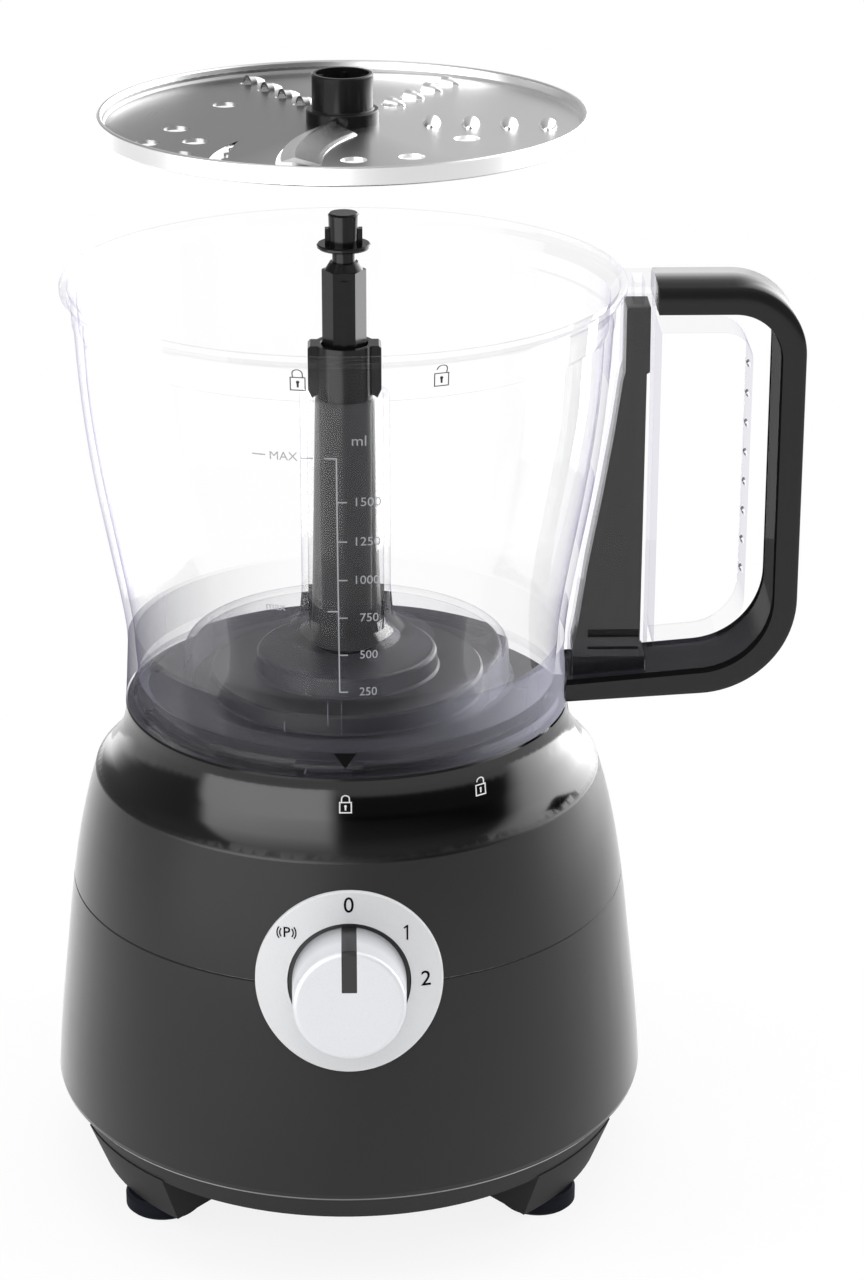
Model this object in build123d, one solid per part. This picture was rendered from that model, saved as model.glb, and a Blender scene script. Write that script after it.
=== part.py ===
# Food processor: motor base, clear bowl with handle, drive column and a slicing disc lifted off its stem.
# Millimetres. The origin is on the worktop under the drive axis.
# +Z is up, -Y is the dial side and +X the handle side.
import math
import os
from build123d import *

os.makedirs("parts", exist_ok=True)

# Heights that drive the stack
POD_Z = 6.5
TRAY_Z = 23.5
LOW_SEAM_Z = 33.0
MID_SEAM_Z = 107.0
CREASE_Z = 146.0
DECK_Z = 170.4
SPIGOT_Z = 173.6
TIER_Z = 180.0
BOSS_Z = 186.6
RIM_Z = 314.0

# Radii of the base
BASE_R = 101.2
SEAM_R = BASE_R - 7.6
CREASE_R = BASE_R - 16.1
SPIGOT_R = 67.3
TIER_R = 46.0
BOSS_R = 30.4
WALL = 2.6
SEAM_GROOVE = 0.5

# Bowl
BOWL_WALL = 2.3
FOOT_ROOM = 4.5
BOWL_FOOT_R = SPIGOT_R + FOOT_ROOM + BOWL_WALL
COLLAR_R = BOWL_FOOT_R + 0.1
BOWL_RIM_R = 91.1
MOAT_Z = 176.5
PLATEAU_Z = 190.0
PLATEAU_R = 54.2
TUBE_R = 14.8
TUBE_Z = 275.0

# Drive
COLUMN_TOP_R = 9.75
COLUMN_LOW_R = 11.7
COLUMN_LOW_Z = 188.8
COLLAR_Z = 274.0
COLLAR_TOP_Z = 292.0
STEM_HALF = 6.2
FLANGE_Z = 325.0
NUB_Z = 335.0
OUT_SHAFT_R = 4.0
GEAR_MODULE = 1.0
GEAR_TEETH = 72
PINION_TEETH = 12
GEAR_SHIFT = 0.3
GEAR_BACKLASH = 0.26

# Disc, lifted off the flange of its stem
DISC_R = 77.3
DISC_LIFT = 36.4
HUB_LOW_Z = FLANGE_Z + 0.2 + DISC_LIFT
PLATE_T = 1.2
PLATE_LOW_Z = HUB_LOW_Z + 1.7
PLATE_TOP_Z = PLATE_LOW_Z + PLATE_T
DISC_RIM_Z = PLATE_TOP_Z + 3.5
DISC_RIM_H = 5.8
HUB_R = 9.75
HUB_TOP_Z = PLATE_TOP_Z + 15.3

# Dial
DIAL_TILT = 7.0
DIAL_Z = 108.8
BEZEL_R = 30.0
BEZEL_BORE_R = 19.7
KNOB_R = 17.8
KNOB_OUT = 20.0

# Handle
HANDLE_X = 148.4
HANDLE_TOP_Z = 313.2
HANDLE_LOW_Z = 170.1
HANDLE_RISE = 5.4
COVER_BAND = 8.2
COVER_DEPTH = 32.0
CORE_DEPTH = 23.0
GAP_IN_X = 101.8
FOOT_OUT_X = 99.4
CAVITY_X = FOOT_OUT_X + 0.6
GAP_OUT_X = 131.5
GAP_LOW_Z = 190.0
GAP_TOP_Z = 297.5

# Clearances
SLIDE_GAP = 0.5
TURN_GAP = 0.3
COVER_FIT = 0.12
RIM_FIT = 0.3
RUN_GAP = 0.05
SLIDER_TRAVEL = 4.0
BOWL_TURN = 34.0


def save(name, *shapes):
    # One node per file: one solid, or several equal pieces side by side.
    solids = []
    for shape in shapes:
        solids.extend(shape.solids())
    whole = solids[0] if len(solids) == 1 else Compound(children=solids)
    whole.label = name
    export_step(whole, f"parts/{name}.step")


def lathe(points):
    # A solid of revolution about Z from (r, z) corners.
    face = make_face(Polyline(*[(r, 0, z) for r, z in points], close=True))
    return revolve(face, Axis.Z)


def tube(r_out, r_in, z0, z1, x=0.0, y=0.0):
    ring = Circle(r_out) - Circle(r_in) if r_in else Circle(r_out)
    return extrude(Pos(x, y, z0) * ring, z1 - z0)


def rod(r, z0, z1, x=0.0, y=0.0):
    return tube(r, 0, z0, z1, x, y)


def block(x0, x1, y0, y1, z0, z1):
    return Pos((x0 + x1) / 2, (y0 + y1) / 2, (z0 + z1) / 2) * Box(x1 - x0, y1 - y0, z1 - z0)


def polar(r, deg):
    return r * math.cos(math.radians(deg)), r * math.sin(math.radians(deg))


def sector(r_in, r_out, a0, a1, z0, z1):
    # A ring sector between two azimuths in degrees.
    mid = (a0 + a1) / 2
    outline = [
        Line(polar(r_in, a0), polar(r_out, a0)),
        ThreePointArc(polar(r_out, a0), polar(r_out, mid), polar(r_out, a1)),
        Line(polar(r_out, a1), polar(r_in, a1)),
        ThreePointArc(polar(r_in, a1), polar(r_in, mid), polar(r_in, a0)),
    ]
    return extrude(Pos(0, 0, z0) * make_face(outline), z1 - z0)


def prism_y(points, half):
    # A flat outline in X and Z, given depth from -half to +half in Y.
    face = make_face(Polyline(*[(x, 0, z) for x, z in points], close=True))
    return extrude(face, half, both=True, dir=(0, 1, 0))


# The outer skin of the base, from the low seam to the crease, as one smooth profile
SKIN = [
    (CREASE_R, CREASE_Z), (SEAM_R, MID_SEAM_Z), (BASE_R - 4.1, 77.6), (BASE_R - 1.9, 58.0),
    (BASE_R, LOW_SEAM_Z + 2.5),
]


def skin_r(z):
    # Radius of the skin at a height, straight between its points.
    for (r0, z0), (r1, z1) in zip(SKIN, SKIN[1:]):
        if z1 <= z <= z0:
            return r0 + (r1 - r0) * (z0 - z) / (z0 - z1)
    return BASE_R


def skin(offset_in, offset_out, z0, z1):
    # A shell of the base between two offsets from the skin, cut level at z0 and z1.
    outer = Spline(*[(r + offset_out, 0, z) for r, z in SKIN])
    inner = Spline(*[(r + offset_in, 0, z) for r, z in SKIN])
    ends = [Line(outer @ 1, inner @ 1), Line(inner @ 0, outer @ 0)]
    shell = revolve(make_face([outer, inner, *ends]), Axis.Z)
    return shell & rod(BASE_R + 20, z0, z1)


# Dial frame: local +Z points out of the base along the dial axis, local +Y points up
dial_out = Vector(0, -math.cos(math.radians(DIAL_TILT)), math.sin(math.radians(DIAL_TILT)))
DIAL = Plane(origin=(0, -SEAM_R, DIAL_Z), x_dir=(1, 0, 0), z_dir=dial_out)


def on_dial(shape):
    return DIAL * shape


# Lower housing: satin shell with a rolled bottom edge, screw bosses and a cord inlet
lower = skin(-WALL, 0, LOW_SEAM_Z + 2.5, MID_SEAM_Z)
edge_ring = lathe([
    (BASE_R - WALL, LOW_SEAM_Z + 2.5), (BASE_R, LOW_SEAM_Z + 2.5),
    (BASE_R - 0.3, LOW_SEAM_Z + 1.0), (BASE_R - 1.2, LOW_SEAM_Z), (BASE_R - WALL, LOW_SEAM_Z),
])
lower = lower + edge_ring
BOSS_SPOTS = [polar(BASE_R - 15.2, a) for a in (60.0, 120.0, 240.0, 300.0)]
for px, py in BOSS_SPOTS:
    web_a = math.degrees(math.atan2(py, px))
    boss = rod(5.0, LOW_SEAM_Z, 60.0, px, py)
    web = Rot(0, 0, web_a) * block(BASE_R - 13.2, BASE_R - 3.2, -1.0, 1.0, LOW_SEAM_Z + 3.0, 58.0)
    lower = lower + boss + web
for px, py in BOSS_SPOTS:
    lower = lower - rod(1.6, LOW_SEAM_Z - 1, 52.0, px, py)
dial_hole = on_dial(extrude(Circle(BEZEL_BORE_R + 0.6), 20, both=True))
lower = lower - dial_hole
CORD_Z = 52.0
GLAND_R = 6.5
cord_hole = Pos(0, skin_r(CORD_Z), CORD_Z) * Rot(90, 0, 0) * Cylinder(GLAND_R, 30)
lower = lower - cord_hole
# a fine groove where the two housings meet
seam_groove = lathe([
    (SEAM_R - SEAM_GROOVE, MID_SEAM_Z), (SEAM_R + 1.0, MID_SEAM_Z - 1.0), (SEAM_R + 1.0, MID_SEAM_Z + 1.0),
])
lower = lower - seam_groove
save("lower_housing", lower)

# Upper housing: satin band with a lip that drops inside the lower one
upper = skin(-WALL, 0, MID_SEAM_Z, CREASE_Z)
lip = skin(-WALL - 1.7, -WALL - 0.2, MID_SEAM_Z - 4.0, MID_SEAM_Z + 4.0)
bridge = skin(-WALL - 1.7, -WALL + 0.5, MID_SEAM_Z, MID_SEAM_Z + 4.0)
upper = upper + lip + bridge
upper = upper - dial_hole - seam_groove
save("upper_housing", upper)

# Top cover: gloss ogee collar, ledge, spigot with bayonet lugs, two raised tiers
# and the bearing seat in one moulding
OGEE_FLARE = [
    (1.0, 0.0), (0.90, 0.063), (0.64, 0.176), (0.35, 0.378), (0.13, 0.588), (0.02, 0.80), (0.0, 1.0),
]


def ogee_at(out, up):
    # A point of the collar from its share of the flare and of the height.
    return COLLAR_R + (CREASE_R - COLLAR_R) * out, CREASE_Z + (DECK_Z - 0.6 - CREASE_Z) * up


ogee_pts = [ogee_at(out, up) for out, up in OGEE_FLARE]
ogee = Spline(*[(r, 0, z) for r, z in ogee_pts], tangents=[(-0.1, 0, 1), (0, 0, 1)])
outside = [
    (COLLAR_R, DECK_Z - 0.6), (COLLAR_R - 0.6, DECK_Z), (SPIGOT_R, DECK_Z), (SPIGOT_R, SPIGOT_Z - 0.5),
    (SPIGOT_R - 0.5, SPIGOT_Z), (TIER_R + 0.6, SPIGOT_Z), (TIER_R, SPIGOT_Z + 0.6),
    (TIER_R - 0.3, TIER_Z - 0.8), (TIER_R - 1.1, TIER_Z), (BOSS_R + 0.8, TIER_Z), (BOSS_R, TIER_Z + 0.8),
    (BOSS_R - 0.3, BOSS_Z - 1.2), (BOSS_R - 0.8, BOSS_Z - 0.4), (BOSS_R - 1.6, BOSS_Z),
    (17.0, BOSS_Z + 0.4), (16.0, BOSS_Z + 0.4),
]
# the hollow under the tiers is left open: the seat tube hangs in it
outside_line = Polyline(*[(r, 0, z) for r, z in outside])
ogee_in = [ogee_at(out, up) for out, up in reversed(OGEE_FLARE[2:6])]
under = [
    (16.0, BOSS_Z + 0.4), (9.0, BOSS_Z + 0.4), (9.0, BOSS_Z - 1.6), (OUT_SHAFT_R + 0.5, BOSS_Z - 1.6),
    (OUT_SHAFT_R + 0.5, 180.0), (8.0, 180.0), (8.0, 172.0), (11.5, 172.0), (11.5, BOSS_Z - WALL),
    (BOSS_R - 3.2, BOSS_Z - WALL), (BOSS_R - 2.8, TIER_Z - WALL), (TIER_R - 3.2, TIER_Z - WALL),
    (TIER_R - 2.8, SPIGOT_Z - WALL), (SPIGOT_R - WALL, SPIGOT_Z - WALL), (SPIGOT_R - WALL, DECK_Z - WALL),
    (COLLAR_R - 5.5, DECK_Z - WALL), (COLLAR_R - 3.4, DECK_Z - 4.0),
    *[(r - 3.3, z - 1.6) for r, z in ogee_in], (CREASE_R - 3.4, CREASE_Z), (CREASE_R, CREASE_Z),
]
under_line = Polyline(*[(r, 0, z) for r, z in under])
top = revolve(make_face([ogee, outside_line, under_line]), Axis.Z)
# a spigot lip inside the upper housing
top = top + tube(CREASE_R - WALL - 0.3, CREASE_R - WALL - 1.9, CREASE_Z - 4.0, CREASE_Z + 1.0)
# the run for the foot of the interlock slider, open at the rim under the handle
TOE_Z = 171.4
RUN_Z = TOE_Z - SLIDER_TRAVEL - 1.2
run = sector(56.0, COLLAR_R + 16.0, -7.0, BOWL_TURN + 7.0, RUN_Z, BOSS_Z + 5)
run_inner = sector(54.5, SPIGOT_R - 0.8, -9.0, BOWL_TURN + 9.0, RUN_Z - 2.4, SPIGOT_Z - 0.8)
run_outer = sector(SPIGOT_R - 4.0, COLLAR_R - 1.2, -9.0, BOWL_TURN + 9.0, RUN_Z - 2.4, DECK_Z - 0.8)
top = top + run_inner + run_outer
top = top - run
# a notch for a finger of the bowl in the edge of the spigot
top = top - sector(SPIGOT_R - 3.2, SPIGOT_R + 2.0, 166.0, 172.0, DECK_Z + 0.6, SPIGOT_Z + 1.0)
# three bayonet lugs on the spigot
LUGS = [-95.0, 85.0, 190.0]
LUG_Z = 172.3
for a in LUGS:
    top = top + sector(SPIGOT_R - 3, SPIGOT_R + 3.0, a - 9.0, a + 9.0, LUG_Z, LUG_Z + 1.2)
# posts that carry the gear plate
PLATE_Z = 108.0
PLATE_H = 5.0
POSTS = [(44.0, -31.0), (-44.0, -31.0), (40.0, 54.0), (-40.0, 54.0)]
for px, py in POSTS:
    post_top_z = SPIGOT_Z - 1.0 if math.hypot(px, py) < 60.0 else DECK_Z - 1.0
    top = top + rod(5.0, PLATE_Z + PLATE_H, post_top_z, px, py)
for px, py in POSTS:
    top = top - rod(1.6, PLATE_Z, PLATE_Z + 25.0, px, py)
PLUNGER_X = 62.0
PLUNGER_R = 3.0
top = top + rod(PLUNGER_R + 2.2, 152.0, RUN_Z - 1.0, PLUNGER_X, 0)
top = top - rod(PLUNGER_R + 0.08, 150.0, RUN_Z + 2.0, PLUNGER_X, 0)
save("top_cover", top)

# Bottom tray: a dished plate with four pods for the feet, screw holes and air slots under the fan
MOTOR_Y = GEAR_MODULE * (GEAR_TEETH + PINION_TEETH) / 2
TRAY_R = BASE_R - 1.4
TRAY_RIM_R = BASE_R - WALL - RIM_FIT
TRAY_FLAT_R = BASE_R - 6.7
tray = lathe([
    (0, TRAY_Z), (TRAY_FLAT_R, TRAY_Z), (TRAY_R, LOW_SEAM_Z), (TRAY_R - WALL, LOW_SEAM_Z),
    (TRAY_FLAT_R - WALL, TRAY_Z + WALL), (0, TRAY_Z + WALL),
])
# a shallow rim that locates inside the lower housing
tray = tray + lathe([
    (TRAY_RIM_R, LOW_SEAM_Z - 1.0), (TRAY_RIM_R, LOW_SEAM_Z + 2.2), (TRAY_RIM_R - 1.7, LOW_SEAM_Z + 2.2),
    (TRAY_RIM_R - 2.3, LOW_SEAM_Z - 1.0),
])
FOOT_AT = BASE_R - 23.2
FEET = [(FOOT_AT, -145.0), (FOOT_AT, -35.0), (FOOT_AT, 35.0), (FOOT_AT, 145.0)]
FOOT_R = 12.9
POD_IN_R = BASE_R - 41.2
pod_cone = lathe([
    (POD_IN_R, POD_Z), (BASE_R - 12.7, POD_Z), (BASE_R - 5.6, TRAY_Z + 1.0), (POD_IN_R, TRAY_Z + 1.0),
])
for r, a in FEET:
    tray = tray + (pod_cone & sector(POD_IN_R, BASE_R + 9.0, a - 14.0, a + 14.0, POD_Z, TRAY_Z + 1.0))
for r, a in FEET:
    fx, fy = polar(r, a)
    tray = tray - rod(FOOT_R - 2.6, POD_Z - 1, POD_Z + 4.0, fx, fy)
for px, py in BOSS_SPOTS:
    tray = tray + rod(5.0, TRAY_Z, LOW_SEAM_Z, px, py)
for px, py in BOSS_SPOTS:
    tray = tray - rod(2.1, TRAY_Z - 1, LOW_SEAM_Z + 1, px, py)
    tray = tray - rod(3.9, TRAY_Z - 1, LOW_SEAM_Z - 3.0, px, py)
for k in range(9):
    slot_x = (k - 4) * 5.6
    half = 13.0 + math.sqrt(max(0.0, 26.0 ** 2 - slot_x ** 2)) * 0.5
    slot = SlotOverall(2 * half, 2.6, rotation=90)
    tray = tray - extrude(Pos(slot_x, MOTOR_Y, TRAY_Z - 1) * slot, WALL + 2)
save("bottom_tray", tray)

# Feet: rubber discs with a plug in the pod and a hollow sole
for name, (r, a) in zip(("front_left", "front_right", "rear_right", "rear_left"), FEET):
    fx, fy = polar(r, a)
    foot = lathe([
        (0, 1.4), (8.0, 1.4), (9.6, 0), (FOOT_R - 1.0, 0), (FOOT_R, 1.0), (FOOT_R, POD_Z - 1.4),
        (FOOT_R - 0.8, POD_Z), (FOOT_R - 2.7, POD_Z), (FOOT_R - 2.7, POD_Z + 3.6), (0, POD_Z + 3.6),
    ])
    save(f"foot_{name}", Pos(fx, fy, 0) * foot)

# Cord gland: rubber ring in the back wall
gland = Pos(0, skin_r(CORD_Z) - 1.2, CORD_Z) * Rot(90, 0, 0) * (
    Cylinder(GLAND_R - 0.05, 9) - Cylinder(3.6, 12)
    + Pos(0, 0, -4.0) * (Cylinder(8.6, 2.6) - Cylinder(3.6, 4))
)
save("cord_gland", gland)

# Dial ring: a curved ring that follows the skin of the base
ring_hole = on_dial(extrude(Circle(BEZEL_R) - Circle(BEZEL_BORE_R), 16, both=True))
bezel = skin(0.02, 1.5, 70.0, 142.0) & ring_hole
bezel = bezel.solids().sort_by(Axis.Y)[0]
# a small notch at the off mark, and a softened outer edge
bezel = bezel - on_dial(Pos(0, BEZEL_BORE_R, -6) * extrude(Rectangle(5.6, 2.4), 16))
bezel = fillet(bezel.edges().filter_by(lambda e: e.length > 5.6 * BEZEL_R).sort_by(Axis.Y)[:1], 0.7)
save("dial_ring", bezel)

# Rotary switch behind the dial, with a plate that closes the opening
SWITCH_Z = -10.6
switch_face = on_dial(Pos(0, 0, SWITCH_Z) * extrude(Circle(BEZEL_BORE_R + 5.0), 2.0))
switch_box = on_dial(Pos(0, 0, SWITCH_Z - 12.0) * extrude(RectangleRounded(32, 32, 3), 12.0))
shaft_well = on_dial(Pos(0, 0, SWITCH_Z - 8.0) * extrude(Circle(3.0 + RUN_GAP), 12))
tags = [on_dial(Pos(x, -10, SWITCH_Z - 16.0) * extrude(Rectangle(4.0, 0.8), 4.4)) for x in (-9, 0, 9)]
switch = switch_face + switch_box
for tag in tags:
    switch = switch + tag
switch = switch - shaft_well
save("rotary_switch", switch)

# Knob, its inlaid pointer and the shaft into the switch
KNOB_BACK = -4.6
knob_face = KNOB_OUT + 1.5
KNOB_EDGE = 1.5
edge_turn = [math.radians(90.0 - 15.0 * k) for k in range(7)]
edge_r = KNOB_R - KNOB_EDGE
edge_z = knob_face - KNOB_EDGE
knob_edge = [(edge_r + KNOB_EDGE * math.cos(t), edge_z + KNOB_EDGE * math.sin(t)) for t in edge_turn]
knob_prof = [
    (0, knob_face), *knob_edge, (KNOB_R + 0.5, KNOB_BACK), (KNOB_R - 1.7, KNOB_BACK),
    (KNOB_R - 2.2, knob_face - 3.0), (5.2, knob_face - 3.0), (5.2, 2.0), (3.0, 2.0),
    (3.0, knob_face - 6.0), (0, knob_face - 6.0),
]
knob_body = lathe(knob_prof)
POINTER_W = 4.8
POINTER_D = 0.8
pointer_zone = block(-POINTER_W / 2, POINTER_W / 2, 4.4, KNOB_R + 3, KNOB_BACK - 1, knob_face + 1)
knob_core = lathe([(r - POINTER_D if r > 6 else r, z - POINTER_D if z > knob_face - 2.5 else z)
                   for r, z in knob_prof[:9]] + [(0, KNOB_BACK)])
pointer_cut = pointer_zone - knob_core
knob = knob_body - pointer_cut
pointer = knob_body & pointer_cut
# the pointer is one moulding with a dark skirt round the back of the knob
SKIRT_Z = (-3.2, -0.9)
skirt = tube(BEZEL_BORE_R - TURN_GAP, KNOB_R + 0.2, *SKIRT_Z) - knob_body
pointer = pointer + skirt
save("knob", on_dial(knob))
save("knob_pointer", on_dial(pointer))
save("knob_shaft", on_dial(rod(3.0, SWITCH_Z - 7.4, knob_face - 6.0)))

# Gears
def gear_face(teeth, shift, bore):
    # An involute spur gear outline with the first tooth centred on +X.
    alpha = math.radians(20.0)
    m = GEAR_MODULE
    pitch_r = m * teeth / 2
    base_r = pitch_r * math.cos(alpha)
    tip_r = pitch_r + m * (1.0 + shift) - 0.1
    root_r = pitch_r - m * (1.25 - shift)
    half = (math.pi / 2 + 2 * shift * math.tan(alpha)) / teeth - GEAR_BACKLASH / 2 / pitch_r
    inv_alpha = math.tan(alpha) - alpha

    def half_angle(r):
        a = math.acos(min(1.0, base_r / r))
        return half + inv_alpha - (math.tan(a) - a)

    start_r = max(base_r, root_r)
    radii = [start_r + (tip_r - start_r) * k / 3 for k in range(4)]
    step = 360.0 / teeth
    edges = []
    for k in range(teeth):
        mid = k * step
        rise = [polar(r, mid - math.degrees(half_angle(r))) for r in radii]
        fall = [polar(r, mid + math.degrees(half_angle(r))) for r in reversed(radii)]
        low = math.degrees(half_angle(start_r))
        root_a = polar(root_r, mid - low)
        root_b = polar(root_r, mid + low)
        root_next = polar(root_r, mid + step - low)
        if start_r > root_r + 1e-6:
            edges.append(Line(root_a, rise[0]))
        edges.append(Spline(*rise))
        edges.append(ThreePointArc(rise[-1], polar(tip_r, mid), fall[0]))
        edges.append(Spline(*fall))
        if start_r > root_r + 1e-6:
            edges.append(Line(fall[-1], root_b))
            edges.append(ThreePointArc(root_b, polar(root_r, mid + step / 2), root_next))
        else:
            edges.append(ThreePointArc(fall[-1], polar(root_r, mid + step / 2), root_next))
    face = make_face(edges)
    return face - Circle(bore)


GEAR_Z = 120.0
GEAR_W = 8.0
gear_outline = Rot(0, 0, 180.0 / GEAR_TEETH + 90.0) * gear_face(GEAR_TEETH, -GEAR_SHIFT, 30.0)
gear = extrude(Pos(0, 0, GEAR_Z) * gear_outline, GEAR_W)
gear = gear + tube(30.5, 7.0, GEAR_Z + 2.0, GEAR_Z + 5.0)
gear = gear + tube(9.0, OUT_SHAFT_R, GEAR_Z - 4.0, GEAR_Z + 12.0)
for k in range(6):
    gear = gear - rod(6.0, GEAR_Z, GEAR_Z + 9, *polar(19.5, 60 * k))
save("output_gear", gear)
pinion = extrude(Rot(0, 0, -90.0) * gear_face(PINION_TEETH, GEAR_SHIFT, 3.0), GEAR_W + 2)
save("motor_pinion", Pos(0, MOTOR_Y, GEAR_Z - 1.0) * pinion)

# Gear plate: hangs on the four posts and carries the motor and the lower output bearing
plate_pts = [(-50, -38), (50, -38), (50, 20), (46, 62), (20, 78), (-20, 78), (-46, 62), (-50, 20)]
plate_face = make_face(Polyline(*plate_pts, close=True))
plate_face = fillet(plate_face.vertices(), 5.0)
plate = extrude(Pos(0, 0, PLATE_Z) * plate_face, PLATE_H)
plate = plate + rod(11.0, PLATE_Z - 6.0, PLATE_Z + 1.0)
plate = plate - rod(8.0, PLATE_Z - 4.0, PLATE_Z + PLATE_H + 1)
plate = plate - rod(5.5, PLATE_Z - 7.0, PLATE_Z)
plate = plate - rod(10.0, PLATE_Z - 1, PLATE_Z + PLATE_H + 1, 0, MOTOR_Y)
for px, py in POSTS:
    plate = plate - rod(2.1, PLATE_Z - 1, PLATE_Z + PLATE_H + 1, px, py)
MOTOR_BOLTS = [(x, MOTOR_Y + y) for y in (-22.0, 22.0) for x in (-26.0, 26.0)]
for px, py in MOTOR_BOLTS:
    plate = plate - rod(2.1, PLATE_Z - 1, PLATE_Z + PLATE_H + 1, px, py)
save("gear_plate", plate)


def bearing(r_in, r_out, z0, z1, x, y):
    # A shielded ball bearing drawn as one closed ring with shallow shields.
    mid0 = r_in + 0.3 * (r_out - r_in)
    mid1 = r_in + 0.7 * (r_out - r_in)
    prof = [
        (r_in, z0), (mid0, z0), (mid0, z0 + 0.4), (mid1, z0 + 0.4), (mid1, z0), (r_out, z0),
        (r_out, z1), (mid1, z1), (mid1, z1 - 0.4), (mid0, z1 - 0.4), (mid0, z1), (r_in, z1),
    ]
    return Pos(x, y, 0) * lathe(prof)


save("output_bearing_low", bearing(OUT_SHAFT_R + RUN_GAP, 8.0, PLATE_Z - 4.0, PLATE_Z + 2.0, 0, 0))
save("output_bearing_top", bearing(OUT_SHAFT_R + RUN_GAP, 8.0, 174.0, 180.0, 0, 0))
seal = lathe([
    (OUT_SHAFT_R + RUN_GAP, BOSS_Z - 1.2), (6.0, BOSS_Z - 1.6), (9.0, BOSS_Z - 1.6), (9.0, BOSS_Z + 0.4),
    (7.0, BOSS_Z + 0.4), (OUT_SHAFT_R + RUN_GAP, BOSS_Z - 0.4),
])
save("shaft_seal", seal)

# Output shaft with a flat for the column
shaft = rod(OUT_SHAFT_R, PLATE_Z - 3.0, 236.0)
save("output_shaft", shaft)
column = lathe([
    (OUT_SHAFT_R, COLUMN_LOW_Z), (COLUMN_LOW_R - 0.6, COLUMN_LOW_Z), (COLUMN_LOW_R, COLUMN_LOW_Z + 0.6),
    (COLUMN_TOP_R, COLLAR_Z), (6.6, COLLAR_Z), (6.6, 236.0), (OUT_SHAFT_R, 236.0),
])
save("drive_column", column)
# Collar: cup on the column with two ears
collar = tube(COLUMN_TOP_R, 7.6, COLLAR_Z, COLLAR_TOP_Z)
collar = collar + rod(6.6, COLLAR_Z - 8.0, COLLAR_Z + 3.0) + rod(8.0, COLLAR_Z, COLLAR_Z + 3.0)
for a in (0.0, 180.0):
    ear = prism_y([
        (8.6, COLLAR_Z + 2.0), (10.6, COLLAR_Z + 0.6), (11.9, COLLAR_Z + 3.4), (11.9, COLLAR_TOP_Z - 0.8),
        (11.1, COLLAR_TOP_Z), (8.6, COLLAR_TOP_Z),
    ], 4.2)
    collar = collar + Rot(0, 0, a) * ear
collar = fillet(collar.edges().filter_by(GeomType.CIRCLE).sort_by(Axis.Z)[-1:], 0.5)
save("drive_collar", collar)
# Stem: hexagonal body, neck, flange and keyed nub
hexa = RegularPolygon(STEM_HALF, 6, major_radius=False, rotation=0)
stem = extrude(Pos(0, 0, COLLAR_Z + 3.0) * hexa, 316.5 - COLLAR_Z - 3.0)
stem = stem + lathe([
    (0, 316.0), (STEM_HALF, 316.0), (STEM_HALF, 316.5), (4.6, 319.0), (3.8, 319.0), (3.8, FLANGE_Z - 2.2),
    (8.2, FLANGE_Z - 1.6), (8.7, FLANGE_Z - 1.1), (8.7, FLANGE_Z - 0.4), (8.3, FLANGE_Z), (4.7, FLANGE_Z),
    (5.0, NUB_Z - 0.6), (4.4, NUB_Z), (0, NUB_Z),
])
for k in range(3):
    rib = block(5.0, 7.0, -0.9, 0.9, COLLAR_Z + 4.0, 314.0)
    stem = stem + Rot(0, 0, 120 * k - 90) * rib
for a in (0.0, 180.0):
    stem = stem + Rot(0, 0, a) * block(3.0, 6.0, -1.5, 1.5, FLANGE_Z - 0.5, FLANGE_Z + 5.0)
save("disc_stem", stem)

# Motor: universal motor hung under the gear plate
M = (0.0, MOTOR_Y)
STACK_Z = (60.0, 92.0)
CORE_R = 20.0
AIR = 0.5
stator_face = RectangleRounded(68, 62, 12) - Circle(CORE_R + AIR)
for sy in (-1, 1):
    window = RectangleRounded(44, 9, 3)
    stator_face = stator_face - Pos(0, sy * 24.0) * window
stator_face = stator_face - Pos(-31.4, 0) * Rectangle(2.0, 6.0) - Pos(31.4, 0) * Rectangle(2.0, 6.0)
stator = extrude(Pos(*M, STACK_Z[0]) * stator_face, STACK_Z[1] - STACK_Z[0])
for px, py in MOTOR_BOLTS:
    stator = stator - rod(2.2, 50, 100, px, py)
save("motor_stator", stator)
coils = []
for sy in (-1, 1):
    loop = RectangleRounded(38, 7.0, 3.0)
    bar = extrude(Pos(0, MOTOR_Y + sy * 24.0, STACK_Z[0] - 9.0) * loop, STACK_Z[1] - STACK_Z[0] + 18.0)
    coils.append(fillet(bar.edges().filter_by(GeomType.LINE).filter_by(Axis.X), 1.5))
save("field_coils", *coils)


def bracket(z0, z1, seat_z0, seat_z1):
    # A cast bridge with a bearing cup and four bolt pads.
    body = extrude(Pos(*M, z0) * RectangleRounded(64, 56, 8), z1 - z0)
    for sx in (-1, 1):
        body = body - extrude(Pos(sx * 19.0, MOTOR_Y, z0 - 1) * RectangleRounded(12, 30, 4), z1 - z0 + 2)
    body = body + rod(9.5, seat_z0, seat_z1, *M)
    body = body - rod(6.5, seat_z0 - 1, seat_z1 + 1, *M)
    for px, py in MOTOR_BOLTS:
        body = body - rod(2.2, z0 - 1, z1 + 1, px, py)
    return body


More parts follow.
